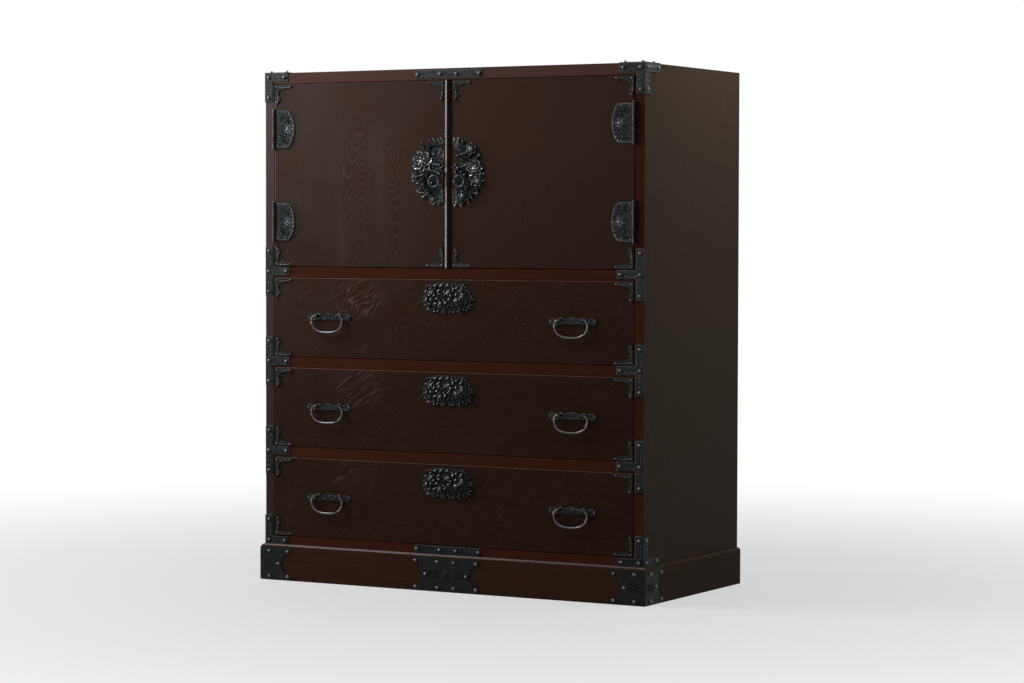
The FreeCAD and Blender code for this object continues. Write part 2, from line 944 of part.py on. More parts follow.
door_edge = inner_left + S.door_gap
half_strip = S.strip_width / 2
left_meeting = -half_strip - S.door_gap
node(
    "left_door_panel",
    eased_board("left_door_panel", door_edge, left_meeting, door_foot, door_top, S.door_board),
)
node(
    "right_door_panel",
    eased_board("right_door_panel", -half_strip, -door_edge, door_foot, door_top, S.door_board),
)
strip_shoulder = S.strip_round - S.strip_thickness
strip_outline = [
    (S.strip_round - half_strip, -S.strip_thickness),
    (half_strip - S.strip_round, -S.strip_thickness, "out", S.strip_round),
    (half_strip, strip_shoulder),
    (half_strip, 0),
    (-half_strip, 0),
    (-half_strip, strip_shoulder, "out", S.strip_round),
]
node(
    "meeting_strip",
    plate("meeting_strip", "XY_Plane", strip_outline, door_top - door_foot, (0, front, door_foot)),
)

# Corner brackets, drawn for a lower left corner and turned for the other three


def bracket(name, at, quarter):
    """A lobed bracket in one corner of a front. Quarter counts the turns from the lower left."""
    wide, tall = S.bracket_width, S.bracket_height
    if quarter % 2:
        wide, tall = tall, wide
    arm, lobe = S.bracket_arm, S.bracket_lobe
    end, inner = S.bracket_end_radius, S.bracket_inner_radius
    outline = [
        (0, 0),
        (wide, 0, "out", end),
        (wide - lobe, arm, "in", inner),
        (arm + lobe, arm, "out", inner),
        (arm, arm + lobe, "in", inner),
        (arm, tall - lobe, "out", end),
        (0, tall),
    ]
    body = plate(name, "XZ_Plane", outline, S.bracket_thickness, at)
    body.Placement.Rotation = FreeCAD.Rotation(FreeCAD.Vector(0, -1, 0), 90 * quarter)
    return body


def four_brackets(name, low_x, high_x, low_z, high_z):
    places = [(low_x, low_z), (high_x, low_z), (high_x, high_z), (low_x, high_z)]
    return [bracket(f"{name}_{turn}", (x, front, z), turn) for turn, (x, z) in enumerate(places)]


margin = S.edge_round
door_brackets = four_brackets(
    "door_bracket",
    door_edge + margin,
    left_meeting - margin,
    door_foot + margin,
    door_top - margin,
)
group("left_door_corner_fittings", door_brackets)
group("right_door_corner_fittings", [mirrored(piece) for piece in door_brackets])

# Medallion halves with the eyes that carry the ring pulls


def lobed_half(reach, rise, lobes, lobe_radius):
    """Half an oval standing on its straight edge, with a rim of equal lobes."""
    corners = []
    for count in range(lobes + 1):
        angle = math.pi * count / lobes
        corner = (reach * math.cos(angle), rise * math.sin(angle))
        corners.append((*corner, "out", lobe_radius) if count < lobes else corner)
    return corners


def lobed_oval(half_width, half_height, lobes, lobe_radius):
    """A squarish oval with a rim of lobes all round, spread so that they come out alike."""
    corners = []
    for count in range(lobes):
        step = 2 * math.pi * (count + 0.5) / lobes
        angle = step + CREST_SPREAD * math.sin(2 * step)
        along = math.copysign(abs(math.cos(angle)) ** CREST_SQUARENESS, math.cos(angle))
        up = math.copysign(abs(math.sin(angle)) ** CREST_SQUARENESS, math.sin(angle))
        corners.append((half_width * along, half_height * up, "out", lobe_radius))
    return corners


def eye_post(name, at, out, radius, length):
    """A post that stands out of the front and ends in an eye along the chest's width."""
    x, z = at
    shaft = rod(f"{name}_stem", length / 2 - S.stem_shoulder, out, (x, front, z), FORWARD)
    eye = rod(f"{name}_eye", radius, length, (x - length / 2, front - out, z), RIGHTWARD)
    return [shaft, eye]


def eye_bore(name, at, out, radius, length):
    x, z = at
    return rod(name, radius, length, (x - length / 2, front - out, z), RIGHTWARD)


door_middle = (door_foot + door_top) / 2 + S.medallion_lift
medallion_edge = left_meeting - S.medallion_edge
ring_at = (medallion_edge - S.ring_inset, door_middle - S.ring_drop)
half_disc = plate(
    "medallion_disc",
    "XZ_Plane",
    lobed_half(S.medallion_rise, S.medallion_reach, MEDALLION_LOBES, S.medallion_lobe_radius),
    S.medallion_thickness,
    (medallion_edge, front, door_middle),
)
half_disc.Placement.Rotation = FreeCAD.Rotation(FreeCAD.Vector(0, -1, 0), 90)
ring_post = eye_post("ring_post", ring_at, S.ring_axis_out, S.ring_eye_radius, S.ring_eye_length)
ring_bore = eye_bore(
    "ring_bore",
    ring_at,
    S.ring_axis_out,
    S.ring_wire + S.ring_eye_clearance,
    S.ring_eye_length,
)
medallion = cut("left_medallion", fuse("medallion_blank", [half_disc, *ring_post]), [ring_bore])
node("left_medallion", medallion)
node("right_medallion", mirrored(medallion))

ring = doc.addObject("Part::Torus", "left_ring_pull")
bind(ring, "Radius1", S.ring_radius)
bind(ring, "Radius2", S.ring_wire)
place(ring, (ring_at[0], front - S.ring_axis_out, ring_at[1] - S.ring_radius), FORWARD)
node("left_ring_pull", ring)
node("right_ring_pull", mirrored(ring))

# Drawers

drawer_left = inner_left + S.drawer_gap
drawer_inner_left = drawer_left + S.drawer_side
box_front = front + S.drawer_front - S.drawer_lap
box_rear = inner_back - S.drawer_rear_clearance
panel_front = front + S.drawer_front - S.drawer_groove
drawer_box_height = drawer_opening - S.slide_clearance - S.drawer_head_room


def drawer_panel(name, foot):
    """The bottom, which slides in under the back and into grooves on three sides."""
    low = foot + S.slide_clearance + S.drawer_bottom_lift
    edge = drawer_inner_left - S.drawer_groove
    return block(name, (edge, panel_front, low), (-edge, box_rear, low + S.drawer_bottom))


def drawer_side(name, foot):
    low = foot + S.slide_clearance
    return block(
        name,
        (drawer_left, box_front, low),
        (drawer_inner_left, box_rear, low + drawer_box_height),
    )


def drawer_box(name, foot):
    """Two grooved sides, and a back that stands on the bottom."""
    side = cut(f"{name}_side", drawer_side(f"{name}_side_blank", foot), [drawer_panel(f"{name}_groove", foot)])
    box_low = foot + S.slide_clearance
    rear = block(
        f"{name}_back",
        (drawer_inner_left, box_rear - S.drawer_back, box_low + S.drawer_bottom_lift + S.drawer_bottom),
        (-drawer_inner_left, box_rear, box_low + drawer_box_height),
    )
    return [side, mirrored(side), rear]


def drawer_face(name, foot):
    """The front, lapped over the sides and grooved for the bottom."""
    high = foot + drawer_opening - S.drawer_gap
    board = eased_board(
        f"{name}_board", drawer_left, -drawer_left, foot + S.drawer_foot_gap, high, S.drawer_front
    )
    lap = drawer_side(f"{name}_lap", foot)
    return cut(name, board, [lap, mirrored(lap), drawer_panel(f"{name}_slot", foot)])


def pull_outline():
    """A winged plate with a small point in the middle of its upper edge and a straight foot."""
    tip, hollow = S.pull_tip_radius, S.pull_hollow_radius
    half = [
        (S.pull_foot, -S.pull_foot_drop),
        (S.pull_wing, -S.pull_wing_foot, "out", tip),
        (S.pull_half_width, -S.pull_tip_drop, "out", tip),
        (S.pull_wing, S.pull_wing_top, "in", hollow),
        (S.pull_hollow_at, S.pull_hollow, "in", hollow),
    ]
    other = [
        (0, S.pull_crest, "in", hollow),
        (-S.pull_hollow_at, S.pull_hollow, "in", hollow),
        (-S.pull_wing, S.pull_wing_top, "out", tip),
        (-S.pull_half_width, -S.pull_tip_drop, "out", tip),
        (-S.pull_wing, -S.pull_wing_foot),
        (-S.pull_foot, -S.pull_foot_drop),
    ]
    return half + other


def pull_back(name, x, z):
    """A pull's plate with its two eye posts."""
    flat = plate(f"{name}_plate", "XZ_Plane", pull_outline(), S.pull_plate, (x, front, z))
    pieces = [flat]
    bores = []
    for side in (-1, 1):
        at = (x + S.pull_spacing * (side / 2), z)
        tag = f"{name}_post_{side + 1}"
        pieces += eye_post(tag, at, S.pull_axis_out, S.pull_eye_radius, S.pull_eye_length)
        bores.append(
            eye_bore(
                f"{tag}_bore",
                at,
                S.pull_axis_out,
                S.bail_wire + S.bail_clearance,
                S.pull_eye_length,
            )
        )
    return cut(name, fuse(f"{name}_blank", pieces), bores)


def bail(name, x, z):
    """A swinging handle of round bar: pins that turn in the eyes, shoulders, and a bowed grip.

    The grip's arc is the one that meets both bends smoothly.
    """
    pin_end = (S.pull_spacing - S.pull_eye_length) / 2 - S.bail_pin_end
    reach = S.bail_width / 2 - S.bail_wire
    shoulder, bend = S.bail_shoulder, S.bail_bend
    bend_x = reach - bend
    below = S.bail_drop - shoulder
    grip = (bend_x * bend_x + below * below - bend * bend) / (2 * (below - bend))
    meet_x = bend_x * grip / (grip - bend)
    meet_z = bend * (below - grip) / (grip - bend) - shoulder
    path = [
        (-pin_end, 0),
        (shoulder - reach, 0, "out", shoulder),
        (-reach, -shoulder, "out", bend),
        (-meet_x, meet_z, "out", grip),
        (meet_x, meet_z, "out", bend),
        (reach, -shoulder, "out", shoulder),
        (reach - shoulder, 0),
        (pin_end, 0),
    ]
    body = doc.addObject("PartDesign::Body", name)
    spine = new_sketch(body, f"{name}_path", "XZ_Plane")
    draw(spine, path, closed=False)
    section = new_sketch(body, f"{name}_section", "YZ_Plane")
    bind(section, "AttachmentOffset.Base.z", -pin_end)
    circle = Part.Circle(FreeCAD.Vector(), FreeCAD.Vector(0, 0, 1), S.bail_wire.value)
    section.addGeometry(circle, False)
    section.addConstraint(Sketcher.Constraint("Coincident", 0, 3, -1, 1))
    bound_constraint(section, "Radius", (0,), S.bail_wire)
    pipe = body.newObject("PartDesign::AdditivePipe", f"{name}_bar")
    pipe.Profile = section
    pipe.Spine = spine
    place(body, (x, front - S.pull_axis_out, z))
    return body


pull_x = left + S.pull_inset
for name, foot in zip(DRAWERS, drawer_foot):
    high = foot + drawer_opening - S.drawer_gap
    low = foot + S.drawer_foot_gap
    middle = (low + high) / 2
    face = node(f"{name}_drawer_front", drawer_face(f"{name}_drawer_front", foot))
    group(f"{name}_drawer_box", drawer_box(f"{name}_drawer", foot))
    node(f"{name}_drawer_bottom", drawer_panel(f"{name}_drawer_bottom", foot))
    brackets = four_brackets(
        f"{name}_drawer_bracket", drawer_left + margin, -drawer_left - margin, low + margin, high - margin
    )
    group(f"{name}_drawer_corner_fittings", brackets)
    crest = lobed_oval(S.crest_half_width, S.crest_half_height, CREST_LOBES, S.crest_lobe_radius)
    node(
        f"{name}_drawer_center_plate",
        plate(
            f"{name}_drawer_center_plate",
            "XZ_Plane",
            crest,
            S.crest_thickness,
            (0, front, high - S.crest_drop),
        ),
    )
    pull_z = middle + S.pull_lift
    back_plate = pull_back(f"{name}_pull_back", pull_x, pull_z)
    group(f"{name}_drawer_pull_plates", [back_plate, mirrored(back_plate)])
    handle = bail(f"{name}_left_bail", pull_x, pull_z)
    node(f"{name}_left_bail", handle)
    node(f"{name}_right_bail", mirrored(handle))

doc.recompute()

# Nothing is written unless every object is sound

failed = [thing.Name for thing in doc.Objects if {"Invalid", "Error"} & set(thing.State)]
for thing in nodes:
    if thing.Shape.isNull() or not thing.Shape.isValid() or not thing.Shape.Solids:
        failed.append(thing.Label)
if failed:
    raise RuntimeError("These pieces did not build: " + ", ".join(failed))

os.makedirs("parts", exist_ok=True)
for thing in nodes:
    thing.Shape.exportStep(f"parts/{thing.Label}.step")
solids = sum(len(thing.Shape.Solids) for thing in nodes)
print(f"{len(nodes)} sub-parts, {solids} solids")
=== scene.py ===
# %% [markdown]
# A tansu chest: a cupboard with two doors over three drawers, lacquered and bound in black iron. The CAD
# model gives every board and fitting its shape and place. This lesson gives them their finishes, and adds
# the chased iron work that is too fine for the CAD model. Lengths are in metres unless a cell says otherwise.

# %% The CAD model

import math
import random

import bmesh
import bpy
from mathutils import Euler, Matrix, Vector


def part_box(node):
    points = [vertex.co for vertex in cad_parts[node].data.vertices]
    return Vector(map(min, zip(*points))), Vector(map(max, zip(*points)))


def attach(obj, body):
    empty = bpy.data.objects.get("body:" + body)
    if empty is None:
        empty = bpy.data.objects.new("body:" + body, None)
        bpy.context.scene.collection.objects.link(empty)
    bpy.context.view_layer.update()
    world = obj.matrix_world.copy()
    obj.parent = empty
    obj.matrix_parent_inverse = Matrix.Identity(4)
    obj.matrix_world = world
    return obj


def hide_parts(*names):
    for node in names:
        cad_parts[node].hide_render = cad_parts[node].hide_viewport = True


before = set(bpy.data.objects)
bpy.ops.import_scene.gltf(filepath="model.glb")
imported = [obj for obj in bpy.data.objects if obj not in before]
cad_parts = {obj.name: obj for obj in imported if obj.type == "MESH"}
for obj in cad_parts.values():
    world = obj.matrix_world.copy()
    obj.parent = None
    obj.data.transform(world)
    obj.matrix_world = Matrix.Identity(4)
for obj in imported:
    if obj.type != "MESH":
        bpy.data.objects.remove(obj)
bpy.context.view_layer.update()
print("solids from the CAD model:", len(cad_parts))

# %% [markdown]
# The view. The photograph looks at the chest from its right, a little above the middle, through a
# long lens, so its upright edges stay almost parallel. A camera could be aimed with a constraint,
# but the place and the turn worked out from the corners of the chest are written down here, because
# they are exact and nothing has to be solved when the file runs.

# %% Camera

camera_data = bpy.data.cameras.new("photo_camera")
camera_data.lens = 102.2
camera_data.sensor_width = 36.0
camera_data.clip_end = 60.0
camera = bpy.data.objects.new("photo_camera", camera_data)
camera.location = (3.5829, -6.2789, 0.8716)
tilt = math.radians(90 - 2.16)
turn = math.radians(29.46)
roll = math.radians(0.125)
aim = Euler((tilt, 0, turn)).to_matrix() @ Matrix.Rotation(roll, 3, "Z")
camera.rotation_euler = aim.to_euler()
scene = bpy.context.scene
scene.collection.objects.link(camera)
scene.camera = camera
scene.view_settings.view_transform = "Standard"
print("camera at", [round(value, 2) for value in camera.location])

# %% [markdown]
# The light. Soft daylight falls from the left, so the left of the chest carries a sheen and the lower right
# stays dark. A sun lamp gives hard shadows, so lamps as large as a window are used. A far, narrow one
# lights the edges that face left, such as the slope of the strip between the doors, and weak ones fill in
# from above and from the right.

# %% Lamps


def soft_lamp(name, place, target, size, watts, colour):
    """An area lamp that looks at a target. Its size is a width and a height."""
    lamp_data = bpy.data.lights.new(name, "AREA")
    lamp_data.shape = "RECTANGLE"
    lamp_data.size, lamp_data.size_y = size
    lamp_data.energy = watts
    lamp_data.color = colour
    lamp = bpy.data.objects.new(name, lamp_data)
    lamp.location = place
    towards = Vector(target) - Vector(place)
    lamp.rotation_euler = towards.to_track_quat("-Z", "Y").to_euler()
    scene.collection.objects.link(lamp)
    print("lamp", name, watts, "W")


COOL_DAYLIGHT = (0.98, 0.99, 1.0)
WARM_DAYLIGHT = (1.0, 0.98, 0.96)
FROM_RIGHT = (1.0, 0.99, 0.97)
FROM_ABOVE = (1.0, 0.98, 0.95)
soft_lamp("window_left", (-1.5, -1.05, 2.0), (0, -0.25, 0.75), (0.9, 0.8), 43, COOL_DAYLIGHT)
soft_lamp("window_edge", (-5.0, -0.95, 1.1), (0, -0.25, 0.9), (0.55, 2.8), 200, WARM_DAYLIGHT)
soft_lamp("right_wall", (0.95, 0.2, 1.85), (0.53, 0, 0.9), (0.7, 0.7), 14.5, FROM_RIGHT)
soft_lamp("ceiling", (-0.6, -1.4, 4.8), (0, 0, 0.4), (3.0, 3.0), 30, FROM_ABOVE)

# %% [markdown]
# The surroundings. They are pale behind the chest and dim on the camera's side. A picture of a real place
# could light the chest too, but would bring its own shapes and colours. The camera itself, and whatever
# mirrors the background, sees plain white, and the Light Path node tells these rays from the rest.

# %% World


def link_node(tree, kind, inputs=None, **settings):
    """Adds one shader node. An input that is a socket is linked, and any other is set."""
    made = tree.nodes.new(kind)
    for name, value in settings.items():
        setattr(made, name, value)
    for name, value in (inputs or {}).items():
        if isinstance(value, bpy.types.NodeSocket):
            tree.links.new(value, made.inputs[name])
        else:
            made.inputs[name].default_value = value
    return made


def calc(tree, operation, *values):
    """One sum of numbers and sockets."""
    return link_node(tree, "ShaderNodeMath", dict(enumerate(values)), operation=operation).outputs[0]


def spread(tree, value, low, high, at_low=0.0, at_high=1.0, smooth=False):
    """Carries a value from one range to another, evenly or with soft ends."""
    ranges = {"Value": value, "From Min": low, "From Max": high, "To Min": at_low, "To Max": at_high}
    kind = "SMOOTHSTEP" if smooth else "LINEAR"
    return link_node(tree, "ShaderNodeMapRange", ranges, interpolation_type=kind).outputs[0]


def axes_of(tree, place):
    return link_node(tree, "ShaderNodeSeparateXYZ", {"Vector": place}).outputs


def direct_rays(tree):
    """1 where the background is seen, straight or in a mirror or through glass, and 0 elsewhere."""
    rays = link_node(tree, "ShaderNodeLightPath").outputs
    mirrored = calc(tree, "ADD", rays["Is Glossy Ray"], rays["Is Transmission Ray"])
    seen = link_node(tree, "ShaderNodeMath", {0: rays["Is Camera Ray"], 1: mirrored}, use_clamp=True)
    return seen.outputs[0]


def show_white(tree, share, lit, white, output):
    """Shows white by its share, and the lit shader for the rest."""
    both = link_node(tree, "ShaderNodeMixShader", {0: share, 1: lit.outputs[0], 2: white.outputs[0]})
    tree.links.new(both.outputs[0], tree.nodes[output].inputs["Surface"])


WHITE = (1, 1, 1, 1)
DIM_IN_FRONT = (0.03, 0.03, 0.03, 1)
PALE_BEHIND = (0.30, 0.30, 0.29, 1)
world = bpy.data.worlds.new("pale_room")
scene.world = world
world.use_nodes = True
room = world.node_tree
heading = link_node(room, "ShaderNodeTexCoord").outputs["Generated"]
behind = spread(room, axes_of(room, heading)["Y"], -0.9, 0.9, smooth=True)
walls = link_node(
    room, "ShaderNodeMix", {"Factor": behind, 6: DIM_IN_FRONT, 7: PALE_BEHIND}, data_type="RGBA"
)
lit_room = room.nodes["Background"]
room.links.new(walls.outputs[2], lit_room.inputs["Color"])
white_room = link_node(room, "ShaderNodeBackground", {"Color": WHITE, "Strength": 1.0})
show_white(room, direct_rays(room), lit_room, white_room, "World Output")
print("world", world.name)

# %% [markdown]
# The floor. It is a plain pale disc, which keeps the shadow of the chest and goes over into the white of the
# background further out. A square would show its corners. It is on stage only, and isn't part of the chest.

# %% Floor


def object_place(tree):
    return link_node(tree, "ShaderNodeTexCoord").outputs["Object"]


def begin_finish(name, **sockets):
    """A new finish, its nodes and its shader, with the sockets given set on it."""
    finish = bpy.data.materials.new(name)
    finish.use_nodes = True
    shader = finish.node_tree.nodes["Principled BSDF"]
    for socket, value in sockets.items():
        shader.inputs[socket.replace("_", " ")].default_value = value
    return finish, finish.node_tree, shader


FLOOR_RADIUS = 12
PALE_FLOOR = (0.30, 0.30, 0.29, 1)
shape = bmesh.new()
bmesh.ops.create_circle(shape, cap_ends=True, radius=FLOOR_RADIUS, segments=96)
floor_mesh = bpy.data.meshes.new("floor")
shape.to_mesh(floor_mesh)
shape.free()
floor = bpy.data.objects.new("floor", floor_mesh)
scene.collection.objects.link(floor)
floor_finish, floor_tree, floor_shader = begin_finish("pale_floor", Base_Color=PALE_FLOOR, Roughness=0.8)
from_middle = link_node(
    floor_tree, "ShaderNodeVectorMath", {0: object_place(floor_tree)}, operation="LENGTH"
).outputs["Value"]
whitened = spread(floor_tree, from_middle, 0.5, 3.2, 0.55, smooth=True)
white_share = calc(floor_tree, "MULTIPLY", direct_rays(floor_tree), whitened)
white_floor = link_node(floor_tree, "ShaderNodeEmission", {"Color": WHITE, "Strength": 1.0})
show_white(floor_tree, white_share, floor_shader, white_floor, "Material Output")
floor_mesh.materials.append(floor_finish)
print("floor radius", FLOOR_RADIUS)

# %% [markdown]
# Grain. The front is figured wood under dark brown lacquer, and the grain shows as thin paler lines that
# run in long loops. A wave texture gives stripes that are too even. Here a slow noise is stretched along
# the board and its contour lines are drawn, as a saw cuts through the rings of a tree, so the loops
# come by themselves. Fine pores run the same way.

# %% Grain


def noise(tree, place, scale, detail, **more):
    sockets = {"Vector": place, "Scale": scale, "Detail": detail, **more}
    return link_node(tree, "ShaderNodeTexNoise", sockets).outputs[0]


def figure(tree, stretch, turned, contours, thin, patch, jagged):
    """Contour lines of a stretched noise: 0 between the lines and 1 on them. Patch gives the middle, across
    and up, and the half sizes of an oval outside which the figure fades, and the pitch at which it comes
    again upwards."""
    place = object_place(tree)
    along = {"Vector": place, "Rotation": turned, "Scale": [1 / value for value in stretch]}
    board = link_node(tree, "ShaderNodeMapping", along, vector_type="TEXTURE").outputs[0]
    rings = calc(tree, "MULTIPLY", noise(tree, board, 1.0, 3.0, Roughness=jagged, Distortion=0.25), contours)
    line = spread(tree, calc(tree, "PINGPONG", rings, 0.5), thin, 0.49, smooth=True)
    shown = spread(tree, noise(tree, board, 1.3, 1.0), 0.30, 0.58)
    across, up, half_wide, half_high, pitch = patch
    axes = axes_of(tree, place)
    sideways = calc(tree, "SUBTRACT", axes["X"], across)
    level = calc(tree, "PINGPONG", calc(tree, "SUBTRACT", axes["Z"], up), pitch / 2)
    offset = link_node(tree, "ShaderNodeCombineXYZ", {"X": sideways, "Z": level}).outputs[0]
    halves = (1 / half_wide, 0, 1 / half_high)
    shares = link_node(tree, "ShaderNodeVectorMath", {0: offset, 1: halves}, operation="MULTIPLY").outputs[0]
    away = link_node(tree, "ShaderNodeVectorMath", {0: shares}, operation="LENGTH").outputs["Value"]
    near = spread(tree, away, 0.4, 1.0, 1.0, 0.15, smooth=True)
    return calc(tree, "MULTIPLY", calc(tree, "MULTIPLY", line, shown), near)


def pores(tree, stretch):
    fine = link_node(tree, "ShaderNodeMapping", {"Vector": object_place(tree), "Scale": stretch})
    return noise(tree, fine.outputs[0], 1.0, 4.0)


ONCE = 99.0
FAR_OFF = 9.0
EVERYWHERE = (0.0, 0.6, FAR_OFF, FAR_OFF, ONCE)
print("figure without a patch reaches", FAR_OFF, "m to each side")

# %% [markdown]
# Painted light and mixing. The lacquer at the upper left is painted greyer, in patches, a painted sheen where
# the window light falls, and some edges are painted a paler brown, a painted highlight where they catch that
# light. Such marks could be painted by hand on an unwrapped mesh. Here each kind is a share from 0 to 1 that
# comes from the place on the chest, and one colour is laid over another by it.

# %% Painted sheen, painted highlights and mixing


def mixed(tree, factor, tones):
    """A colour between two, as the factor says."""
    ramp = link_node(tree, "ShaderNodeValToRGB", {"Fac": factor})
    for stop, tone in zip(ramp.color_ramp.elements, tones):
        stop.color = (*tone, 1)
    return ramp.outputs[0]


def blended(tree, factor, first, second):
    """One colour socket over another."""
    return link_node(tree, "ShaderNodeMix", {0: factor, 6: first, 7: second}, data_type="RGBA").outputs[2]


def scaled(tree, colour, share):
    """A colour of which only a share is left."""
    return link_node(tree, "ShaderNodeVectorMath", {0: colour, "Scale": share}, operation="SCALE").outputs[0]


def near_lines(tree, axis, first, pitch, inner, outer):
    """1 on lines that come at every pitch from the first on, and 0 between them."""
    off = calc(tree, "PINGPONG", calc(tree, "SUBTRACT", axis, first), pitch / 2)
    return spread(tree, off, inner, outer, 1.0, 0.0)


def sheen_share(tree, axes):
    """How far the painted sheen reaches: most at the upper left, not at all to the right or below."""
    across = spread(tree, axes["X"], -0.53, 0.10, 0.37, 0.0)
    up = spread(tree, axes["Z"], 0.25, 1.15)
    patches = spread(tree, noise(tree, object_place(tree), 9.0, 1.0), 0.35, 0.65, 0.55, 1.45)
    return calc(tree, "MULTIPLY", calc(tree, "MULTIPLY", across, up), patches)


# Paler browns laid along edges: a painted highlight where the edges catch the light.
HIGHLIGHT_BROWN = ((0.12, 0.054, 0.038), (0.20, 0.105, 0.080))
# A greyer brown laid over the upper left: a painted sheen.
SHEEN_BROWN = ((0.047, 0.038, 0.037), (0.090, 0.070, 0.066))
SEAM = ((0.020, 0.012, 0.008), (0.050, 0.030, 0.018))
print("tones of wear:", len((HIGHLIGHT_BROWN, SHEEN_BROWN, SEAM)))

# %% [markdown]
# One recipe for all the wood. Every board has two tones, a run for its grain, and its own wear. Each could
# be a material of its own, but then a change to the grain would have to be made a dozen times. So one
# function lays the layers in order: grain, fading, rubbed edges, seams, and the narrow front of a side board.

# %% Wood recipe

DULL = 0.01
END_SKIN = 0.0006
FRONT_SKIN = 0.0005
side_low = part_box("left_side_board")[0]
side_face = round(-side_low.x, 4) - END_SKIN
front_face = round(side_low.y, 4) + FRONT_SKIN


def wood_finish(
    name,
    tones,
    run,
    contours=16,
    turned=(0, 0, 0),
    thin=0.30,
    strength=0.22,
    patch=EVERYWHERE,
    jagged=0.45,
    gloss=0.40,
    shine=0.05,
    painted_sheen=False,
    shade_below=None,
    edge_highlight=None,
    highlight_tones=HIGHLIGHT_BROWN,
    front=None,
    front_shaded_foot=None,
    left_highlight=None,
    ends=None,
    seams=None,
):
    """Tones are the colours between the lines of the grain and on them, and run is how close its figure and
    its pores lie along each axis. The painted sheen lays a greyer brown over the upper left. The shade below
    gives a height, the share of the colour that is left there, and the height from which all of it is:
    painted shade, darker towards the bottom. The edge highlight gives the first pale edge, their pitch and
    half their width, and the highlight tones their colours: a painted highlight, as is the pale strip up the
    left edge.
    Front, its painted shade at the foot and the ends of a board have tones of their own. Seams gives the
    first seam and their pitch."""
    finish, tree, shader = begin_finish(name, Roughness=gloss, Specular_IOR_Level=shine)
    specular = shader.inputs["Specular IOR Level"]
    axes = axes_of(tree, object_place(tree))
    stretch, fine = run
    grain = pores(tree, fine)
    lines = figure(tree, stretch, turned, contours, thin, patch, jagged)
    tone = calc(tree, "MULTIPLY_ADD", lines, strength, calc(tree, "MULTIPLY_ADD", grain, 0.28, 0.06))
    colour = mixed(tree, tone, tones)
    # A greyer brown over the upper left, in patches: a painted sheen.
    if painted_sheen:
        colour = blended(tree, sheen_share(tree, axes), colour, mixed(tree, tone, SHEEN_BROWN))
    # Less of the colour is left lower down: painted shade, darker towards the bottom.
    if shade_below:
        low, share, high = shade_below
        colour = scaled(tree, colour, spread(tree, axes["Z"], low, high, share))
    # Paler tones along the upper edges: a painted highlight.
    if edge_highlight:
        first, pitch, half = edge_highlight
        edges = near_lines(tree, axes["Z"], first, pitch, half / 2, half)
        colour = blended(tree, edges, colour, mixed(tree, grain, highlight_tones))
    # A paler strip up the left edge: a painted highlight.
    if left_highlight:
        by_edge = calc(tree, "LESS_THAN", axes["X"], left_highlight)
        colour = blended(tree, by_edge, colour, mixed(tree, grain, highlight_tones))
    if ends:
        far = calc(tree, "GREATER_THAN", calc(tree, "ABSOLUTE", axes["X"]), side_face)
        colour = blended(tree, far, colour, mixed(tree, tone, ends))
        tree.links.new(spread(tree, far, 0.0, 1.0, shine, DULL), specular)
    if seams:
        first, pitch = seams
        seam = near_lines(tree, axes["X"], first, pitch, 0.0005, 0.0016)
        colour = blended(tree, seam, colour, mixed(tree, grain, SEAM))
    if front:
        facing = calc(tree, "LESS_THAN", axes["Y"], front_face)
        edge = mixed(tree, tone, front)
        # Darker tones towards the foot of the front edge: painted shade.
        if front_shaded_foot:
            up = spread(tree, axes["Z"], 0.30, 1.05)
            edge = blended(tree, up, mixed(tree, tone, front_shaded_foot), edge)
        colour = blended(tree, facing, colour, edge)
        if shine > DULL:
            tree.links.new(spread(tree, facing, 0.0, 1.0, DULL, shine), specular)
    tree.links.new(colour, shader.inputs["Base Color"])
    tree.links.new(spread(tree, tone, 0.0, 1.0, gloss - 0.04, gloss + 0.1), shader.inputs["Roughness"])
    relief = link_node(tree, "ShaderNodeBump", {"Height": tone, "Distance": 0.0005, "Strength": 0.5})
    tree.links.new(relief.outputs[0], shader.inputs["Normal"])
    print("finish", name)
    return finish


# %% [markdown]
# The fronts of doors and drawers. On the doors the loops of the grain stand upright around the middle of the
# left one. On the drawers a few slanted strokes show above each left pull, at the same place on all three,
# so the patch comes again at the pitch of the drawers. The upper edges of the drawers and the left edge of
# the left door are painted pale, a painted highlight. Both fronts are painted greyer at the upper left, a
# painted sheen, and darker towards the bottom, a painted shade.

# %% Lacquer of the fronts

BROWN = ((0.0262, 0.0109, 0.0064), (0.085, 0.046, 0.031))
DARK_BROWN = ((0.0199, 0.0056, 0.0012), (0.080, 0.047, 0.038))
DOOR_RUN = ((5.5, 5.5, 1.2), (420, 420, 26))
DRAWER_RUN = ((2.2, 9, 13), (26, 420, 420))
# Widths of the painted highlights along the edges of the doors and drawers.
DOOR_HIGHLIGHT_WIDTH = 0.0022
DRAWER_HIGHLIGHT_WIDTH = 0.0014
drawers = ("upper", "middle", "lower")
sides = ("left", "right")
drawer_tops = [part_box(f"{drawer}_drawer_front")[1].z for drawer in reversed(drawers)]
drawer_pitch = drawer_tops[1] - drawer_tops[0]
print("drawer tops", [round(top, 4) for top in drawer_tops])
door_lacquer = wood_finish(
    "door_lacquer",
    BROWN,
    DOOR_RUN,
    150,
    thin=0.34,
    strength=0.50,
    patch=(-0.25, 0.93, 0.27, 0.28, ONCE),
    jagged=0.28,
    shine=0.04,
    painted_sheen=True,
    shade_below=(0.78, 0.78, 1.08),
    left_highlight=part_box("left_door_panel")[0].x + DOOR_HIGHLIGHT_WIDTH,
)
drawer_lacquer = wood_finish(
    "drawer_lacquer",
    DARK_BROWN,
    DRAWER_RUN,
    28,
    turned=(0, -0.65, 0),
    thin=0.32,
    strength=1.2,
    patch=(-0.258, drawer_tops[0] - 0.044, 0.095, 0.070, drawer_pitch),
    jagged=0.5,
    shine=0.02,
    painted_sheen=True,
    shade_below=(0.48, 0.82, 0.72),
    edge_highlight=(drawer_tops[0], drawer_pitch, DRAWER_HIGHLIGHT_WIDTH),
)
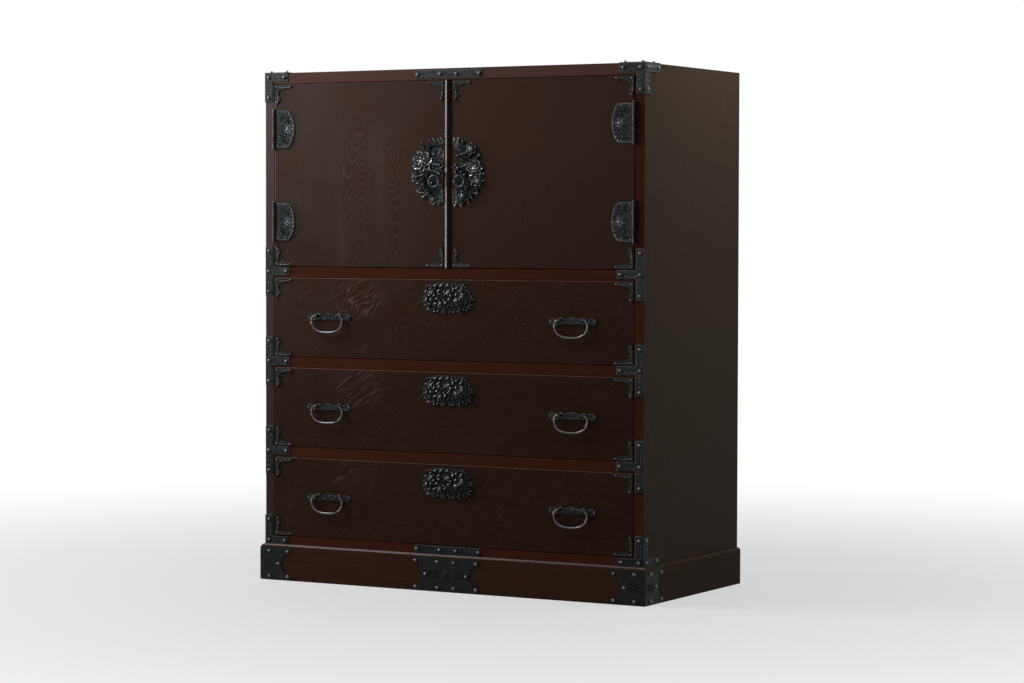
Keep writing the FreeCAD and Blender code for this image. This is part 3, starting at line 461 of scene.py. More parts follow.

# %% [markdown]
# The frame. Its rails and the top board's edge are redder than the fronts, and the side boards are a duller
# brown with a red front edge. On the left board that edge is painted paler and greyer, a painted sheen from
# the window, and darker at its foot, a painted shade. The left slope of the strip is shinier than its face,
# because it has to mirror the window, and its paler colour is a painted highlight. All of it is the same
# recipe with other tones.

# %% Lacquer of the frame

RED = ((0.0385, 0.0088, 0.0046), (0.070, 0.021, 0.012))
WORN_RED = ((0.045, 0.0135, 0.0088), (0.070, 0.021, 0.012))
# The left board's front edge: paler and greyer above, a painted sheen, and darker at its foot, a painted
# shade.
SHEEN_RED = ((0.043, 0.0235, 0.0205), (0.088, 0.053, 0.0485))
SHADED_FOOT_RED = ((0.018, 0.005, 0.0018), (0.033, 0.010, 0.0040))
PLINTH = ((0.0290, 0.0108, 0.0042), (0.052, 0.022, 0.011))
PLINTH_SIDE = ((0.0290, 0.0180, 0.0105), (0.050, 0.032, 0.020))
GREY_HIGHLIGHT = ((0.075, 0.054, 0.056), (0.14, 0.105, 0.112))
SIDE = ((0.031, 0.0205, 0.0130), (0.062, 0.043, 0.030))
STRIP = ((0.018, 0.0064, 0.0044), (0.035, 0.017, 0.012))
# Paler tones for the left slope of the strip: a painted highlight.
STRIP_HIGHLIGHT = ((0.055, 0.026, 0.022), (0.085, 0.045, 0.040))
UPRIGHT = ((12, 12, 1.2), (500, 500, 22))
LEVEL = ((1.2, 12, 12), (22, 500, 500))
FRONT_TO_BACK = ((12, 1.2, 12), (500, 22, 500))
SIDE_RUN = ((4, 5, 1.4), (300, 420, 24))
# A pale grey line along the top edge of the plinth: a painted highlight.
PLINTH_HIGHLIGHT_WIDTH = 0.0024
plinth_top = round(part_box("plinth_front_board")[1].z, 4)
plinth_highlight = (plinth_top - PLINTH_HIGHLIGHT_WIDTH / 2, FAR_OFF, PLINTH_HIGHLIGHT_WIDTH)
strip_lacquer = wood_finish("strip_lacquer", STRIP, UPRIGHT, shine=0.03)
strip_highlight_lacquer = wood_finish(
    "strip_highlight_lacquer", STRIP_HIGHLIGHT, UPRIGHT, strength=0.10, gloss=0.46, shine=0.26
)
level_lacquer = wood_finish("level_lacquer", RED, LEVEL, shine=0.03)
top_lacquer = wood_finish("top_lacquer", RED, LEVEL, shine=0.16, ends=SIDE)
plinth_lacquer = wood_finish(
    "plinth_lacquer", PLINTH, LEVEL, gloss=0.18, edge_highlight=plinth_highlight, highlight_tones=GREY_HIGHLIGHT
)
plinth_side_lacquer = wood_finish("plinth_side_lacquer", PLINTH_SIDE, FRONT_TO_BACK, shine=DULL)
left_side_lacquer = wood_finish(
    "left_side_lacquer", SIDE, SIDE_RUN, 22, shine=0.12, front=SHEEN_RED, front_shaded_foot=SHADED_FOOT_RED
)
right_side_lacquer = wood_finish("right_side_lacquer", SIDE, SIDE_RUN, 22, shine=DULL, front=WORN_RED)

# %% [markdown]
# Bare wood. The inside is planed and left plain, and the back boards have gone brown with age, with a dark
# seam between them. The back could be split into boards, but it is one CAD node, so its seams are drawn.

# %% Bare wood

PLANED = ((0.40, 0.280, 0.165), (0.28, 0.180, 0.098))
AGED = ((0.200, 0.120, 0.066), (0.110, 0.062, 0.034))
BACK_BOARDS = 4
back_low, back_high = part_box("back_boards")
back_pitch = (back_high.x - back_low.x) / BACK_BOARDS
planed_wood = wood_finish(
    "planed_wood", PLANED, ((1.2, 9, 9), (30, 350, 350)), 14, strength=0.45, gloss=0.62, shine=0.2
)
aged_wood = wood_finish(
    "aged_wood",
    AGED,
    ((9, 9, 1.0), (350, 350, 30)),
    14,
    strength=0.5,
    gloss=0.62,
    shine=0.1,
    seams=(back_low.x, back_pitch),
)
aged_level = wood_finish(
    "aged_level", AGED, ((1.0, 9, 9), (30, 350, 350)), 14, strength=0.5, gloss=0.62, shine=0.1
)

# %% [markdown]
# Black iron. The fittings are thin sheet iron under a black skin of oxide, which shines only a little,
# and the raised places are rubbed through to the bare metal. So there are two kinds of finish: a dark one
# that isn't a metal to the shader, and a bright one that is. The ground is punched all over with small
# rings. A noise alone looks like cast metal, so a cell pattern gives the punch marks.

# %% Iron finishes


def iron_finish(name, tones, gloss, punch, metal=0.0, shine=0.1, foot=0.35):
    """Iron between a dark and a pale grey. Punch is how strong its marks are, how many go to a metre, and how
    deep they are. Metal is 0 under black oxide and 1 where it is rubbed bare. Foot is the share of its tone
    that is left at the plinth: painted shade, the irons darker lower down."""
    finish, tree, shader = begin_finish(name, Metallic=metal, Specular_IOR_Level=shine)
    place = object_place(tree)
    cloud = noise(tree, place, 150.0, 4.0)
    # Less of the tone lower down: painted shade, darker towards the plinth.
    shade_low = spread(tree, axes_of(tree, place)["Z"], 0.1, 0.9, foot)
    tree.links.new(scaled(tree, mixed(tree, cloud, tones), shade_low), shader.inputs["Base Color"])
    rough = spread(tree, cloud, 0.3, 0.7, gloss - 0.08, gloss + 0.1)
    tree.links.new(rough, shader.inputs["Roughness"])
    strength, marks, depth = punch
    cells = link_node(tree, "ShaderNodeTexVoronoi", {"Vector": place, "Scale": marks}).outputs["Distance"]
    bump = link_node(tree, "ShaderNodeBump", {"Height": cells, "Distance": depth, "Strength": strength})
    tree.links.new(bump.outputs[0], shader.inputs["Normal"])
    print("finish", name)
    return finish


BLACK = ((0.003, 0.0035, 0.0036), (0.064, 0.0695, 0.0705))
CHASED = ((0.010, 0.0111, 0.0112), (0.060, 0.0660, 0.0670))
RAISED = ((0.012, 0.0132, 0.0134), (0.036, 0.0395, 0.0402))
GROUND = ((0.007, 0.0076, 0.0074), (0.021, 0.0224, 0.0221))
HINGE = ((0.003, 0.0035, 0.0036), (0.044, 0.0488, 0.0496))
BRIGHT = ((0.07, 0.0755, 0.077), (0.21, 0.226, 0.231))
HANDLED = ((0.050, 0.050, 0.048), (0.110, 0.110, 0.106))
DULLED = ((0.030, 0.030, 0.0285), (0.058, 0.058, 0.0555))
NAIL = ((0.008, 0.0083, 0.0083), (0.020, 0.0208, 0.0208))
SMOOTH = (0.10, 260.0, 0.0001)
black_iron = iron_finish("black_iron", BLACK, 0.42, (0.9, 420.0, 0.0007), shine=0.06)
chased_iron = iron_finish("chased_iron", CHASED, 0.32, (0.3, 500.0, 0.0003))
relief_iron = iron_finish("relief_iron", RAISED, 0.26, (0.12, 500.0, 0.0002), shine=0.14)
ground_iron = iron_finish("ground_iron", GROUND, 0.45, (0.6, 420.0, 0.0006), shine=0.04)
hinge_iron = iron_finish("hinge_iron", HINGE, 0.26, (0.9, 420.0, 0.0006), shine=0.12)
rubbed_iron = iron_finish("rubbed_iron", BRIGHT, 0.22, (0.10, 500.0, 0.0001), metal=1.0, foot=0.7)
worn_iron = iron_finish("worn_iron", HANDLED, 0.20, SMOOTH, metal=1.0, foot=0.9)
dull_iron = iron_finish("dull_iron", DULLED, 0.20, SMOOTH, metal=1.0)
nail_iron = iron_finish("nail_iron", NAIL, 0.25, SMOOTH, shine=0.75, foot=0.9)

# %% [markdown]
# Dressing the CAD model. Its nodes come with plain stand-in colours, and each now gets the finish of the
# real piece. Finishes could be picked by a word in the name, but a list given one by one shows at once what
# is made of what.

# %% Finishes of the CAD nodes


def dress(finish, *names):
    for name in names:
        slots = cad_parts[name].data.materials
        slots.clear()
        slots.append(finish)


def each(owners, piece):
    return [f"{owner}_{piece}" for owner in owners]


pulls = [f"{drawer}_{side}" for drawer in drawers for side in sides]
dress(door_lacquer, *each(sides, "door_panel"))
dress(drawer_lacquer, *each(drawers, "drawer_front"))
dress(left_side_lacquer, "left_side_board")
dress(right_side_lacquer, "right_side_board")
dress(strip_lacquer, "meeting_strip")
dress(level_lacquer, "front_rails", "bottom_board")
dress(top_lacquer, "top_board")
dress(plinth_lacquer, "plinth_front_board")
dress(plinth_side_lacquer, "plinth_side_boards")
dress(aged_wood, "back_boards")
dress(aged_level, "plinth_back_board")
dress(planed_wood, "cupboard_floor", "cupboard_shelf", "shelf_cleats", "door_stop", "plinth_corner_blocks")
dress(planed_wood, "dust_panels", "drawer_runners")
dress(planed_wood, *each(drawers, "drawer_box"), *each(drawers, "drawer_bottom"))
dress(black_iron, "top_corner_fittings", "bottom_corner_fittings", "rail_tee_fittings", "center_bar_fittings")
dress(black_iron, *each(sides, "door_corner_fittings"), *each(sides, "medallion"))
dress(black_iron, *each(drawers, "drawer_corner_fittings"), *each(drawers, "drawer_center_plate"))
dress(black_iron, "plinth_corner_fittings", "plinth_center_fitting")
dress(hinge_iron, "frame_hinge_leaves", *each(sides, "door_hinge_leaves"))
dress(hinge_iron, *each(drawers, "drawer_pull_plates"))
dress(nail_iron, "dome_nails")
dress(worn_iron, *each(pulls, "bail"))
dress(dull_iron, "hinge_pins", *each(sides, "ring_pull"))
bare = [name for name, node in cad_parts.items() if len(node.data.materials) == 0]
print("nodes without a finish:", bare)

# %% [markdown]
# Chased leaves and flowers. The big fittings carry peonies and leaves beaten up from sheet iron. They
# could be sculpted, or drawn as a height picture, but a smith makes one leaf at a time, and so does
# this file: a petal is a small grid drawn in to an outline, domed, and grooved along its middle.
# All the petals of a fitting are laid as one sheet, which then gets its thickness in a single step.
# Sizes are in millimetres on the face of the fitting: x to the right, y up, z towards the viewer.

# %% Petals and flowers

WALL = 0.7
VEIN = 0.2275


def lay_petal(shape, root, heading, length, width, rise, lift, tilt=0.0, notch=0.0):
    """Lays one petal or leaf from its root, hollow inside a raised rim. Tilt raises the tip, and notch
    scallops the edge. The outside of the rim is marked as rubbed bright, with the second finish."""
    turned = Matrix.Translation((*root, lift)) @ Matrix.Rotation(heading, 4, "Z")
    verts = bmesh.ops.create_grid(shape, x_segments=5, y_segments=6, size=0.5)["verts"]
    for face in {face for vert in verts for face in vert.link_faces}:
        middle = face.calc_center_median()
        on_edge = abs(middle.y) > 0.34 and middle.x > -0.15
        face.material_index = 1 if on_edge or middle.x > 0.3 else 0
    for vert in verts:
        along = vert.co.x + 0.5
        across = math.copysign(abs(2 * vert.co.y) ** 0.6, vert.co.y)
        swell = math.sin(math.pi * along**0.75)
        half = width / 2 * (0.10 + 0.90 * swell**0.6) * (1 + notch * math.cos(4 * math.pi * along))
        bowl = 0.45 * math.sqrt(max(0.0, 1 - across * across))
        rim = 0.65 * math.exp(-(((abs(across) - 0.78) / 0.16) ** 2))
        vein = VEIN * math.exp(-((across / 0.25) ** 2))
        height = rise * (bowl + rim - vein) * (0.3 + 0.7 * swell)
        vert.co = turned @ Vector((length * along, half * across, height + tilt * along))


def pour(bit, shape, seat=None, finish=None):
    """Adds a small shape to a large one, which is quicker than working in the large one."""
    if finish is not None:
        for face in bit.faces:
            face.material_index = finish
    if seat is not None:
        bmesh.ops.transform(bit, matrix=seat, verts=bit.verts[:])
    mesh = bpy.data.meshes.new("bit")
    bit.to_mesh(mesh)
    bit.free()
    shape.from_mesh(mesh)
    bpy.data.meshes.remove(mesh)


def lay_leaf(shape, root, heading, length, width, rise, lift):
    """A leaf of three lobes: a long one between two short ones."""
    bit = bmesh.new()
    lay_petal(bit, root, heading, length, width, rise, lift, tilt=0.4 * rise, notch=0.08)
    for side in (-1, 1):
        lay_petal(bit, root, heading + side * 0.75, 0.62 * length, 0.62 * width, 0.8 * rise, lift, notch=0.08)
    pour(bit, shape)


def lay_flower(shape, hearts, centre, radius, petals, turned, rise, lift):
    """Two rings of petals, with a heart of beads that is kept for later."""
    bit = bmesh.new()
    for ring, (reach, lifted) in enumerate(((1.0, 0.0), (0.68, 0.35 * rise))):
        length = 0.84 * radius * reach
        width = 5.6 * radius * reach / petals
        for count in range(petals):
            heading = turned + (count + ring / 2) * math.tau / petals
            root = Vector(centre) + 0.16 * radius * Vector((math.cos(heading), math.sin(heading)))
            lay_petal(bit, root, heading, length, width, 0.75 * rise, lift + lifted, tilt=0.25 * rise)
    pour(bit, shape)
    hearts.append((*centre, 0.24 * radius, lift + 0.9 * rise))
    for count in range(6):
        heading = turned + count * math.tau / 6
        bead = Vector(centre) + 0.34 * radius * Vector((math.cos(heading), math.sin(heading)))
        hearts.append((*bead, 0.11 * radius, lift + 0.95 * rise))


def thicken(shape):
    bmesh.ops.solidify(shape, geom=shape.faces[:], thickness=WALL)


print("sheet iron of the leaves:", WALL, "mm")

# %% [markdown]
# Pins, wires and rings. A smith rivets the sheet with round pins, lays wire along its borders and bends rings
# for the eyes. Each could be modelled on its own, but three small functions make all of them. A last
# one hands a finished shape over to the body of the chest that it rides on.

# %% Pins, wires and rings


def add_bead(shape, x, y, radius, height, squash=0.75, finish=0, long=1.0, heading=0.0):
    """A bead or a pin's head, with its middle at the height given. It can be long in one direction."""
    seat = Matrix.Translation((x, y, height)) @ Matrix.Rotation(heading, 4, "Z")
    seat = seat @ Matrix.Diagonal((radius * long, radius, radius * squash, 1))
    bit = bmesh.new()
    bmesh.ops.create_uvsphere(bit, u_segments=8, v_segments=6, radius=1.0, matrix=seat)
    pour(bit, shape, finish=finish)


def add_hearts(shape, hearts, finish=1):
    for x, y, radius, height in hearts:
        add_bead(shape, x, y, radius, height, finish=finish)


def add_spline(line, path, resolution):
    """One smooth curve near a few points."""
    spline = line.splines.new("NURBS")
    spline.points.add(len(path) - 1)
    for point, place in zip(spline.points, path):
        point.co = (*place, 1)
    spline.order_u = 3
    spline.resolution_u = resolution
    return spline


def shape_of(line):
    """Turns a curve into a small shape, and takes the curve away."""
    holder = bpy.data.objects.new("curve", line)
    drawn = bpy.data.meshes.new_from_object(holder)
    bit = bmesh.new()
    bit.from_mesh(drawn)
    bpy.data.objects.remove(holder)
    bpy.data.curves.remove(line)
    bpy.data.meshes.remove(drawn)
    return bit


def add_wires(shape, paths, radius, sides=1, swell=(), finish=0):
    """Round wire along smooth curves near a few points. Swell makes it thicker or thinner at each."""
    line = bpy.data.curves.new("wire", "CURVE")
    line.dimensions = "3D"
    line.bevel_depth = radius
    line.bevel_resolution = sides
    line.use_fill_caps = True
    for path in paths:
        spline = add_spline(line, path, 4)
        spline.use_endpoint_u = True
        for point, thickness in zip(spline.points, swell):
            point.radius = thickness
    pour(shape_of(line), shape, finish=finish)


def add_hoop(shape, wall, centre, axis, finish=0):
    """A closed ring: a round section, placed and stretched by wall, spun once about an axis."""
    bit = bmesh.new()
    bmesh.ops.create_circle(bit, segments=8, radius=1.0, matrix=wall)
    section = bit.verts[:] + bit.edges[:]
    bmesh.ops.spin(bit, geom=section, cent=centre, axis=axis, angle=math.tau, steps=18, use_merge=True)
    pour(bit, shape, finish=finish)


def finish_piece(shape, name, body, finishes):
    """Turns a finished shape into a piece of the chest that rides on a body."""
    bmesh.ops.recalc_face_normals(shape, faces=shape.faces[:])
    mesh = bpy.data.meshes.new(name)
    shape.to_mesh(mesh)
    shape.free()
    mesh.shade_smooth()
    mesh.set_sharp_from_angle(angle=math.radians(48))
    for finish in finishes:
        mesh.materials.append(finish)
    piece = bpy.data.objects.new(name, mesh)
    scene.collection.objects.link(piece)
    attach(piece, body)
    print(name, "faces:", len(mesh.polygons))
    return piece


SHRINK = Matrix.Scale(0.001, 4)
FACE_FORWARD = Matrix.Rotation(math.pi / 2, 4, "X") @ SHRINK


def set_down(shape, x, y, z, flip=1):
    """Moves a shape drawn in millimetres to its place on a face that looks forward."""
    seat = Matrix.Translation((x, y, z)) @ FACE_FORWARD @ Matrix.Diagonal((flip, 1, 1, 1))
    bmesh.ops.transform(shape, matrix=seat, verts=shape.verts[:])


print("a millimetre on a face is", SHRINK[0][0], "m")

# %% [markdown]
# The medallion. Its two halves meet at the strip between the doors. Each is a ragged plate thick with
# leaves, with one large peony, smaller flowers and buds, and an eye that holds the ring. The halves
# aren't twins, as on a hand-made fitting, so each has its own list of flowers, and the leaves between
# them come from a seeded draw. Anything that crosses the straight edge is cut off before the
# sheet is thickened.

# %% Leaves and plate of the medallion

REACH = 92.0
RISE = 84.0
PLATE = 1.8
EDGE_CUT = 0.4
RING_EYE = (22.0, -10.0)
RING_MIDDLE = (22.0, -23.5)
RING_ROOM = 20
EYE_OUT = 10.0
EYE_RADIUS = 3.6


def trim_edge(shape):
    """Cuts off what crosses the straight edge."""
    everything = shape.verts[:] + shape.edges[:] + shape.faces[:]
    cut = (EDGE_CUT, 0, 0)
    bmesh.ops.bisect_plane(shape, geom=everything, plane_co=cut, plane_no=(1, 0, 0), clear_inner=True)


def add_backing(shape, seed, bite):
    """A half oval with an uneven rim, a little inside the tips of the leaves. A bite, with its middle height,
    half height and depth, is left out of its straight edge, and the door shows there."""
    middle, half, deep = bite
    bit = bmesh.new()
    bmesh.ops.create_circle(bit, cap_ends=True, segments=96, radius=1.0)
    for vert in bit.verts:
        angle = math.atan2(vert.co.y, vert.co.x)
        ragged = 0.88 + 0.05 * math.sin(9 * angle + seed) + 0.03 * math.sin(23 * angle + 2 * seed)
        y = RISE * ragged * vert.co.y
        hollow = deep * math.sqrt(max(0.0, 1 - ((y - middle) / half) ** 2))
        x = REACH * ragged * vert.co.x if vert.co.x > 0.01 else EDGE_CUT + hollow
        vert.co = (x, y, 0)
    raised = bmesh.ops.extrude_face_region(bit, geom=bit.faces[:], use_keep_orig=True)["geom"]
    lifted = [part for part in raised if isinstance(part, bmesh.types.BMVert)]
    bmesh.ops.translate(bit, vec=(0, 0, PLATE), verts=lifted)
    pour(bit, shape, finish=2)


def lay_foliage(shape, hearts, flowers, leaves, seed, bite):
    """Leaves round the rim and between the flowers, then the flowers themselves."""
    middle, half, deep = bite
    draw = random.Random(seed)

    def is_clear(start, spare):
        """Whether a spot lies outside the bite, with something to spare, and away from the ring."""
        in_bite = abs(start.y - middle) < half + spare and start.x < deep + 10
        return not in_bite and (start - Vector(RING_MIDDLE)).length >= RING_ROOM

    for step in range(18):
        angle = math.radians(-86 + 10.1 * step + draw.uniform(-3, 3))
        rim = Vector((REACH * math.cos(angle), RISE * math.sin(angle))) * draw.uniform(0.90, 1.0)
        length = draw.uniform(18, 26)
        start = rim * (1.0 - 0.86 * length / rim.length)
        heading = math.atan2(start.y, start.x) + draw.uniform(-0.7, 0.7)
        lay_leaf(shape, start, heading, length, draw.uniform(9, 12), 2.8, PLATE - 0.6)
    for _ in range(64):
        angle = draw.uniform(-1.5, 1.5)
        away = math.sqrt(draw.uniform(0.02, 0.66))
        start = Vector((REACH * away * math.cos(angle), RISE * away * math.sin(angle)))
        heading = draw.uniform(0, math.tau)
        length = draw.uniform(11, 17)
        width = draw.uniform(5.5, 8)
        if is_clear(start, 6):
            lay_leaf(shape, start, heading, length, width, 2.6, PLATE)
    for step in range(12):
        start = Vector((draw.uniform(3, 8), -64 + 11.6 * step))
        heading = draw.uniform(-1.4, 1.4)
        if is_clear(start, 5):
            lay_leaf(shape, start, heading, 14, 7, 2.6, PLATE)
    for x, y, heading, length, width in leaves:
        lay_leaf(shape, (x, y), math.radians(heading), length, width, 3.4, PLATE + 0.8)
    for x, y, radius, petals, turned in flowers:
        lay_flower(shape, hearts, (x, y), radius, petals, turned, 4.2, PLATE + 0.8)


def press_edge(shape):
    """Beats the relief lower towards the straight edge, so that it doesn't shade the strip."""
    for vert in shape.verts:
        vert.co.z = PLATE + (vert.co.z - PLATE) * min(1.0, 0.30 + vert.co.x / 50)


def add_eye(shape):
    """The post, wider at its foot, and the eye that the ring hangs in."""
    x, y = RING_EYE
    depth = EYE_OUT - EYE_RADIUS - PLATE
    post = Matrix.Translation((x, y, (PLATE + EYE_OUT - EYE_RADIUS) / 2))
    bmesh.ops.create_cone(
        shape, cap_ends=True, segments=12, radius1=3.0, radius2=1.2, depth=depth, matrix=post
    )
    wall = Matrix.Translation((x, y + EYE_RADIUS, EYE_OUT)) @ Matrix.Diagonal((1.5, 0.85, 1, 1))
    add_hoop(shape, wall, (x, y, EYE_OUT), (1, 0, 0))


print("medallion half:", REACH, "by", 2 * RISE, "mm")

# %% Medallion halves

OVER_EDGE = 0.002
door_low, door_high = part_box("left_door_panel")
door_face = door_low.y
half_low, half_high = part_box("right_medallion")
medallion_middle = (half_low.z + half_high.z) / 2
medallion_edge = half_low.x - OVER_EDGE


def medallion(side, flip, flowers, leaves, buds, stems, seed, bite):
    shape = bmesh.new()
    hearts = []
    lay_foliage(shape, hearts, flowers, leaves, seed, bite)
    trim_edge(shape)
    press_edge(shape)
    thicken(shape)
    add_backing(shape, seed, bite)
    add_wires(shape, stems, 1.2, finish=1)
    add_hearts(shape, hearts)
    for x, y, radius in buds:
        add_bead(shape, x, y, radius, PLATE + 2.2, squash=1.1)
        add_bead(shape, x, y, 0.55 * radius, PLATE + 2.2 + 0.9 * radius, squash=1.0, finish=1)
    add_eye(shape)
    set_down(shape, flip * medallion_edge, door_face, medallion_middle, flip)
    irons = (relief_iron, rubbed_iron, ground_iron)
    piece = finish_piece(shape, f"{side}_medallion_relief", f"{side}_door", irons)
    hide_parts(f"{side}_medallion")


medallion(
    "left",
    -1,
    flowers=[(60, 24, 28, 7, 0.3), (30, -66, 10, 5, 0.2)],
    leaves=[
        (24, 36, 128, 26, 10),
        (14, 58, 85, 22, 9),
        (36, 56, 80, 22, 9),
        (52, 56, 60, 20, 9),
        (46, 4, 40, 18, 8),
        (18, 8, 160, 18, 8),
        (44, -12, 35, 26, 8),
        (50, -3, -14, 36, 11),
        (72, -4, -50, 26, 10),
        (60, -22, -62, 32, 11),
        (40, -44, -42, 28, 11),
        (28, -52, -75, 26, 10),
        (14, -50, -95, 24, 9),
    ],
    buds=[(10, 16, 3.6), (10, -5, 4.4), (40, 44, 3.0), (56, -30, 3.0), (16, -72, 2.6)],
    stems=[
        [(10, 16, 3), (20, 14, 3.4), (34, 22, 4)],
        [(10, -5, 3), (24, 2, 4), (38, 2, 4.5), (52, 8, 4.5)],
    ],
    seed=4,
    bite=(0, 4, 1),
)
medallion(
    "right",
    1,
    flowers=[
        (64, 6, 22, 8, 0.1),
        (53, 54, 15, 6, 0.4),
        (72, -23, 14, 6, 0.0),
        (30, -57, 12, 5, 0.6),
        (60, -24, 9, 5, 0.3),
    ],
    leaves=[
        (5, 60, 58, 26, 12),
        (22, 54, 70, 24, 9),
        (56, 34, -28, 22, 9),
        (40, 26, 50, 20, 8),
        (5, 8, 66, 12, 7),
        (34, 4, 30, 22, 8),
        (62, -34, -60, 22, 9),
        (46, -46, -60, 22, 9),
        (12, -54, -100, 32, 9),
        (24, -60, -80, 24, 8),
        (38, -58, -60, 22, 8),
    ],
    buds=[(18, 8, 4.8), (17, 38, 3.6), (12, -2, 3.4), (27, -2, 3.2), (37, -8, 3.6)],
    stems=[[(17, 38, 2.2), (26, 43, 2.8), (40, 44, 3.6)], [(18, 8, 3), (30, 14, 3.6), (44, 14, 4.5)]],
    seed=9,
    bite=(33, 17, 22),
)

# %% [markdown]
# Centre plates. Each drawer carries a low crest, full at the upper left and sloped at the upper right. It
# is crowded with small flowers and leaves, so that in the photograph it is all bright specks. It could be a
# bumpy texture, but the specks move as one walks past, so they are real flowers here. One crest is drawn and
# set down three times.

# %% Crests of the drawers

CREST = 2.0
CREST_HALF = (66.5, 34.5)
FULLNESS = 4.5
SHOULDER = 1.04
SHOULDER_SLOPE = 0.43
RIM_LEAVES = 34
CREST_FLOWERS = ((-46, 12), (-20, -14), (4, 14), (26, -6), (42, 8))


def crest_reach(angle):
    """How far the rim lies in a direction. It is an oval with full corners."""
    wide, high = CREST_HALF
    across = abs(math.cos(angle) / wide) ** FULLNESS
    up = abs(math.sin(angle) / high) ** FULLNESS
    return (across + up) ** (-1 / FULLNESS)


def crest_width(y):
    """Half the width of the crest at a height, less a margin for the leaves of the rim."""
    wide, high = CREST_HALF
    return wide * (1 - (abs(y) / high) ** FULLNESS) ** (1 / FULLNESS) - 7


def on_crest(x, y):
    """Whether a spot lies left of the crest's right shoulder, which slopes in towards the top."""
    wide, high = CREST_HALF
    return x / wide + SHOULDER_SLOPE * y / high < SHOULDER


def crest_shape():
    """Leaves round the rim, rows of small leaves that all lean one way, and a few flowers among them."""
    wide, high = CREST_HALF
    shape = bmesh.new()
    hearts = []
    draw = random.Random(12)
    lift = CREST - 0.4
    for step in range(RIM_LEAVES):
        angle = (step + draw.uniform(-0.25, 0.25)) * math.tau / RIM_LEAVES
        length = draw.uniform(12, 16)
        tip = crest_reach(angle)
        start = tip - 0.86 * length
        root = (start * math.cos(angle), start * math.sin(angle))
        if on_crest(tip * math.cos(angle), tip * math.sin(angle)):
            lay_leaf(shape, root, angle + draw.uniform(-0.4, 0.4), length, draw.uniform(6, 8), 2.0, lift)
    for step in range(6):
        up = 0.85 - 0.2 * step
        root = (wide * (0.90 - SHOULDER_SLOPE * up), high * up)
        lay_leaf(shape, root, draw.uniform(0.2, 0.7), draw.uniform(9, 12), draw.uniform(6, 8), 2.0, lift)
    for row in range(9):
        y = -28 + 6.2 * row
        half = crest_width(y)
        bit = bmesh.new()
        for step in range(13):
            root = (half * (step / 6 - 1) + draw.uniform(-2.5, 2.5), y + draw.uniform(-2, 2))
            heading = draw.uniform(0.5, 1.5)
            length = draw.uniform(8, 11)
            if on_crest(root[0] + 5, root[1] + 6):
                width = draw.uniform(4.4, 6)
                lay_petal(bit, root, heading, length, width, 2.2, CREST, tilt=draw.uniform(0.8, 2.4))
        pour(bit, shape)
    for centre in CREST_FLOWERS:
        lay_flower(shape, hearts, centre, draw.uniform(9, 11), 6, draw.uniform(0, 1), 3.6, CREST + 0.6)
    thicken(shape)
    add_hearts(shape, hearts)
    for row in range(6):
        level = -26 + 10.4 * row
        half = crest_width(level)
        for step in range(8):
            x = half * ((step + 0.5 * (row % 2)) / 3.75 - 1) + draw.uniform(-4, 4)
            y = level + draw.uniform(-4, 4)
            # Beads towards the upper left get the bright rubbed metal, the rest the dark chased iron: a
            # painted highlight on the lit side.
            bright = y / high - 0.6 * x / wide + draw.uniform(-0.5, 0.5) > -0.45
            long = draw.uniform(1.6, 3.0)
            lean = draw.uniform(0.6, 1.25)
            if on_crest(x + 4, y + 4):
                add_bead(shape, x, y, draw.uniform(1.4, 2.2), CREST + 3.4, 1.0, int(bright), long, lean)
    return shape


for drawer in drawers:
    low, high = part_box(f"{drawer}_drawer_center_plate")
    shape = crest_shape()
    set_down(shape, 0, high.y, (low.z + high.z) / 2)
    finish_piece(shape, f"{drawer}_drawer_crest", f"{drawer}_drawer", [chased_iron, rubbed_iron])

# %% [markdown]
# Hinge plates. These are flat irons with low chasing: a raised border along the lobed edge, a spray of
# leaves inside it, and pins at the ends. The border could be cut into the CAD plate, but it only follows the
# edge that the plate already has, so a thin wire on a smooth curve is enough.

# %% Chasing on the hinge plates

HINGE_BORDER = [(7, 45), (36, 45), (45, 42), (51, 32), (54, 24), (57, 10), (57.5, 0)]
HINGE_PINS = ((9, 41), (33, 41), (55, 0), (9, -41), (33, -41))
HINGE_PLATE = 0.002
HINGE_INSET = 0.111
PIN_HEAD = 0.003
SUNK = -0.2


def mirrored_path(points, height):
    """A path, then the same path again below the middle line, going back."""
    return [(x, y, height) for x, y in points] + [(x, -y, height) for x, y in reversed(points[:-1])]


def hinge_reach(y):
    """Where the rounded edge of a hinge plate lies at a height."""
    return 57.0 - 15.0 * (abs(y) / 45) ** 3


def hinge_chasing():
    """Small leaves crowded over the outer part of the plate. The band by the barrel stays smooth."""
    shape = bmesh.new()
    hearts = []
    draw = random.Random(31)
    lay_flower(shape, hearts, (40, 0), 11, 6, 0.2, 1.7, SUNK)
    for step in range(9):
        y = -36 + 9 * step
        root = (hinge_reach(y) - 9, 0.92 * y)
        lay_leaf(shape, root, math.atan2(1.4 * y, 40) + draw.uniform(-0.2, 0.2), 10.5, 7, 1.5, SUNK)
    for _ in range(42):
        y = draw.uniform(-40, 40)
        x = draw.uniform(18, hinge_reach(y) - 11)
        heading = draw.uniform(0, math.tau)
        if math.hypot(x - 40, y) > 9:
            lay_leaf(shape, (x, y), heading, draw.uniform(7, 10), draw.uniform(4, 5.5), 1.6, SUNK)
    thicken(shape)
    add_hearts(shape, hearts)
    for x, y in HINGE_PINS:
        add_bead(shape, x, y, 2.4, 0.2, finish=2)
    add_wires(shape, [mirrored_path(HINGE_BORDER, 0.1)], 0.8, finish=1)
    return shape


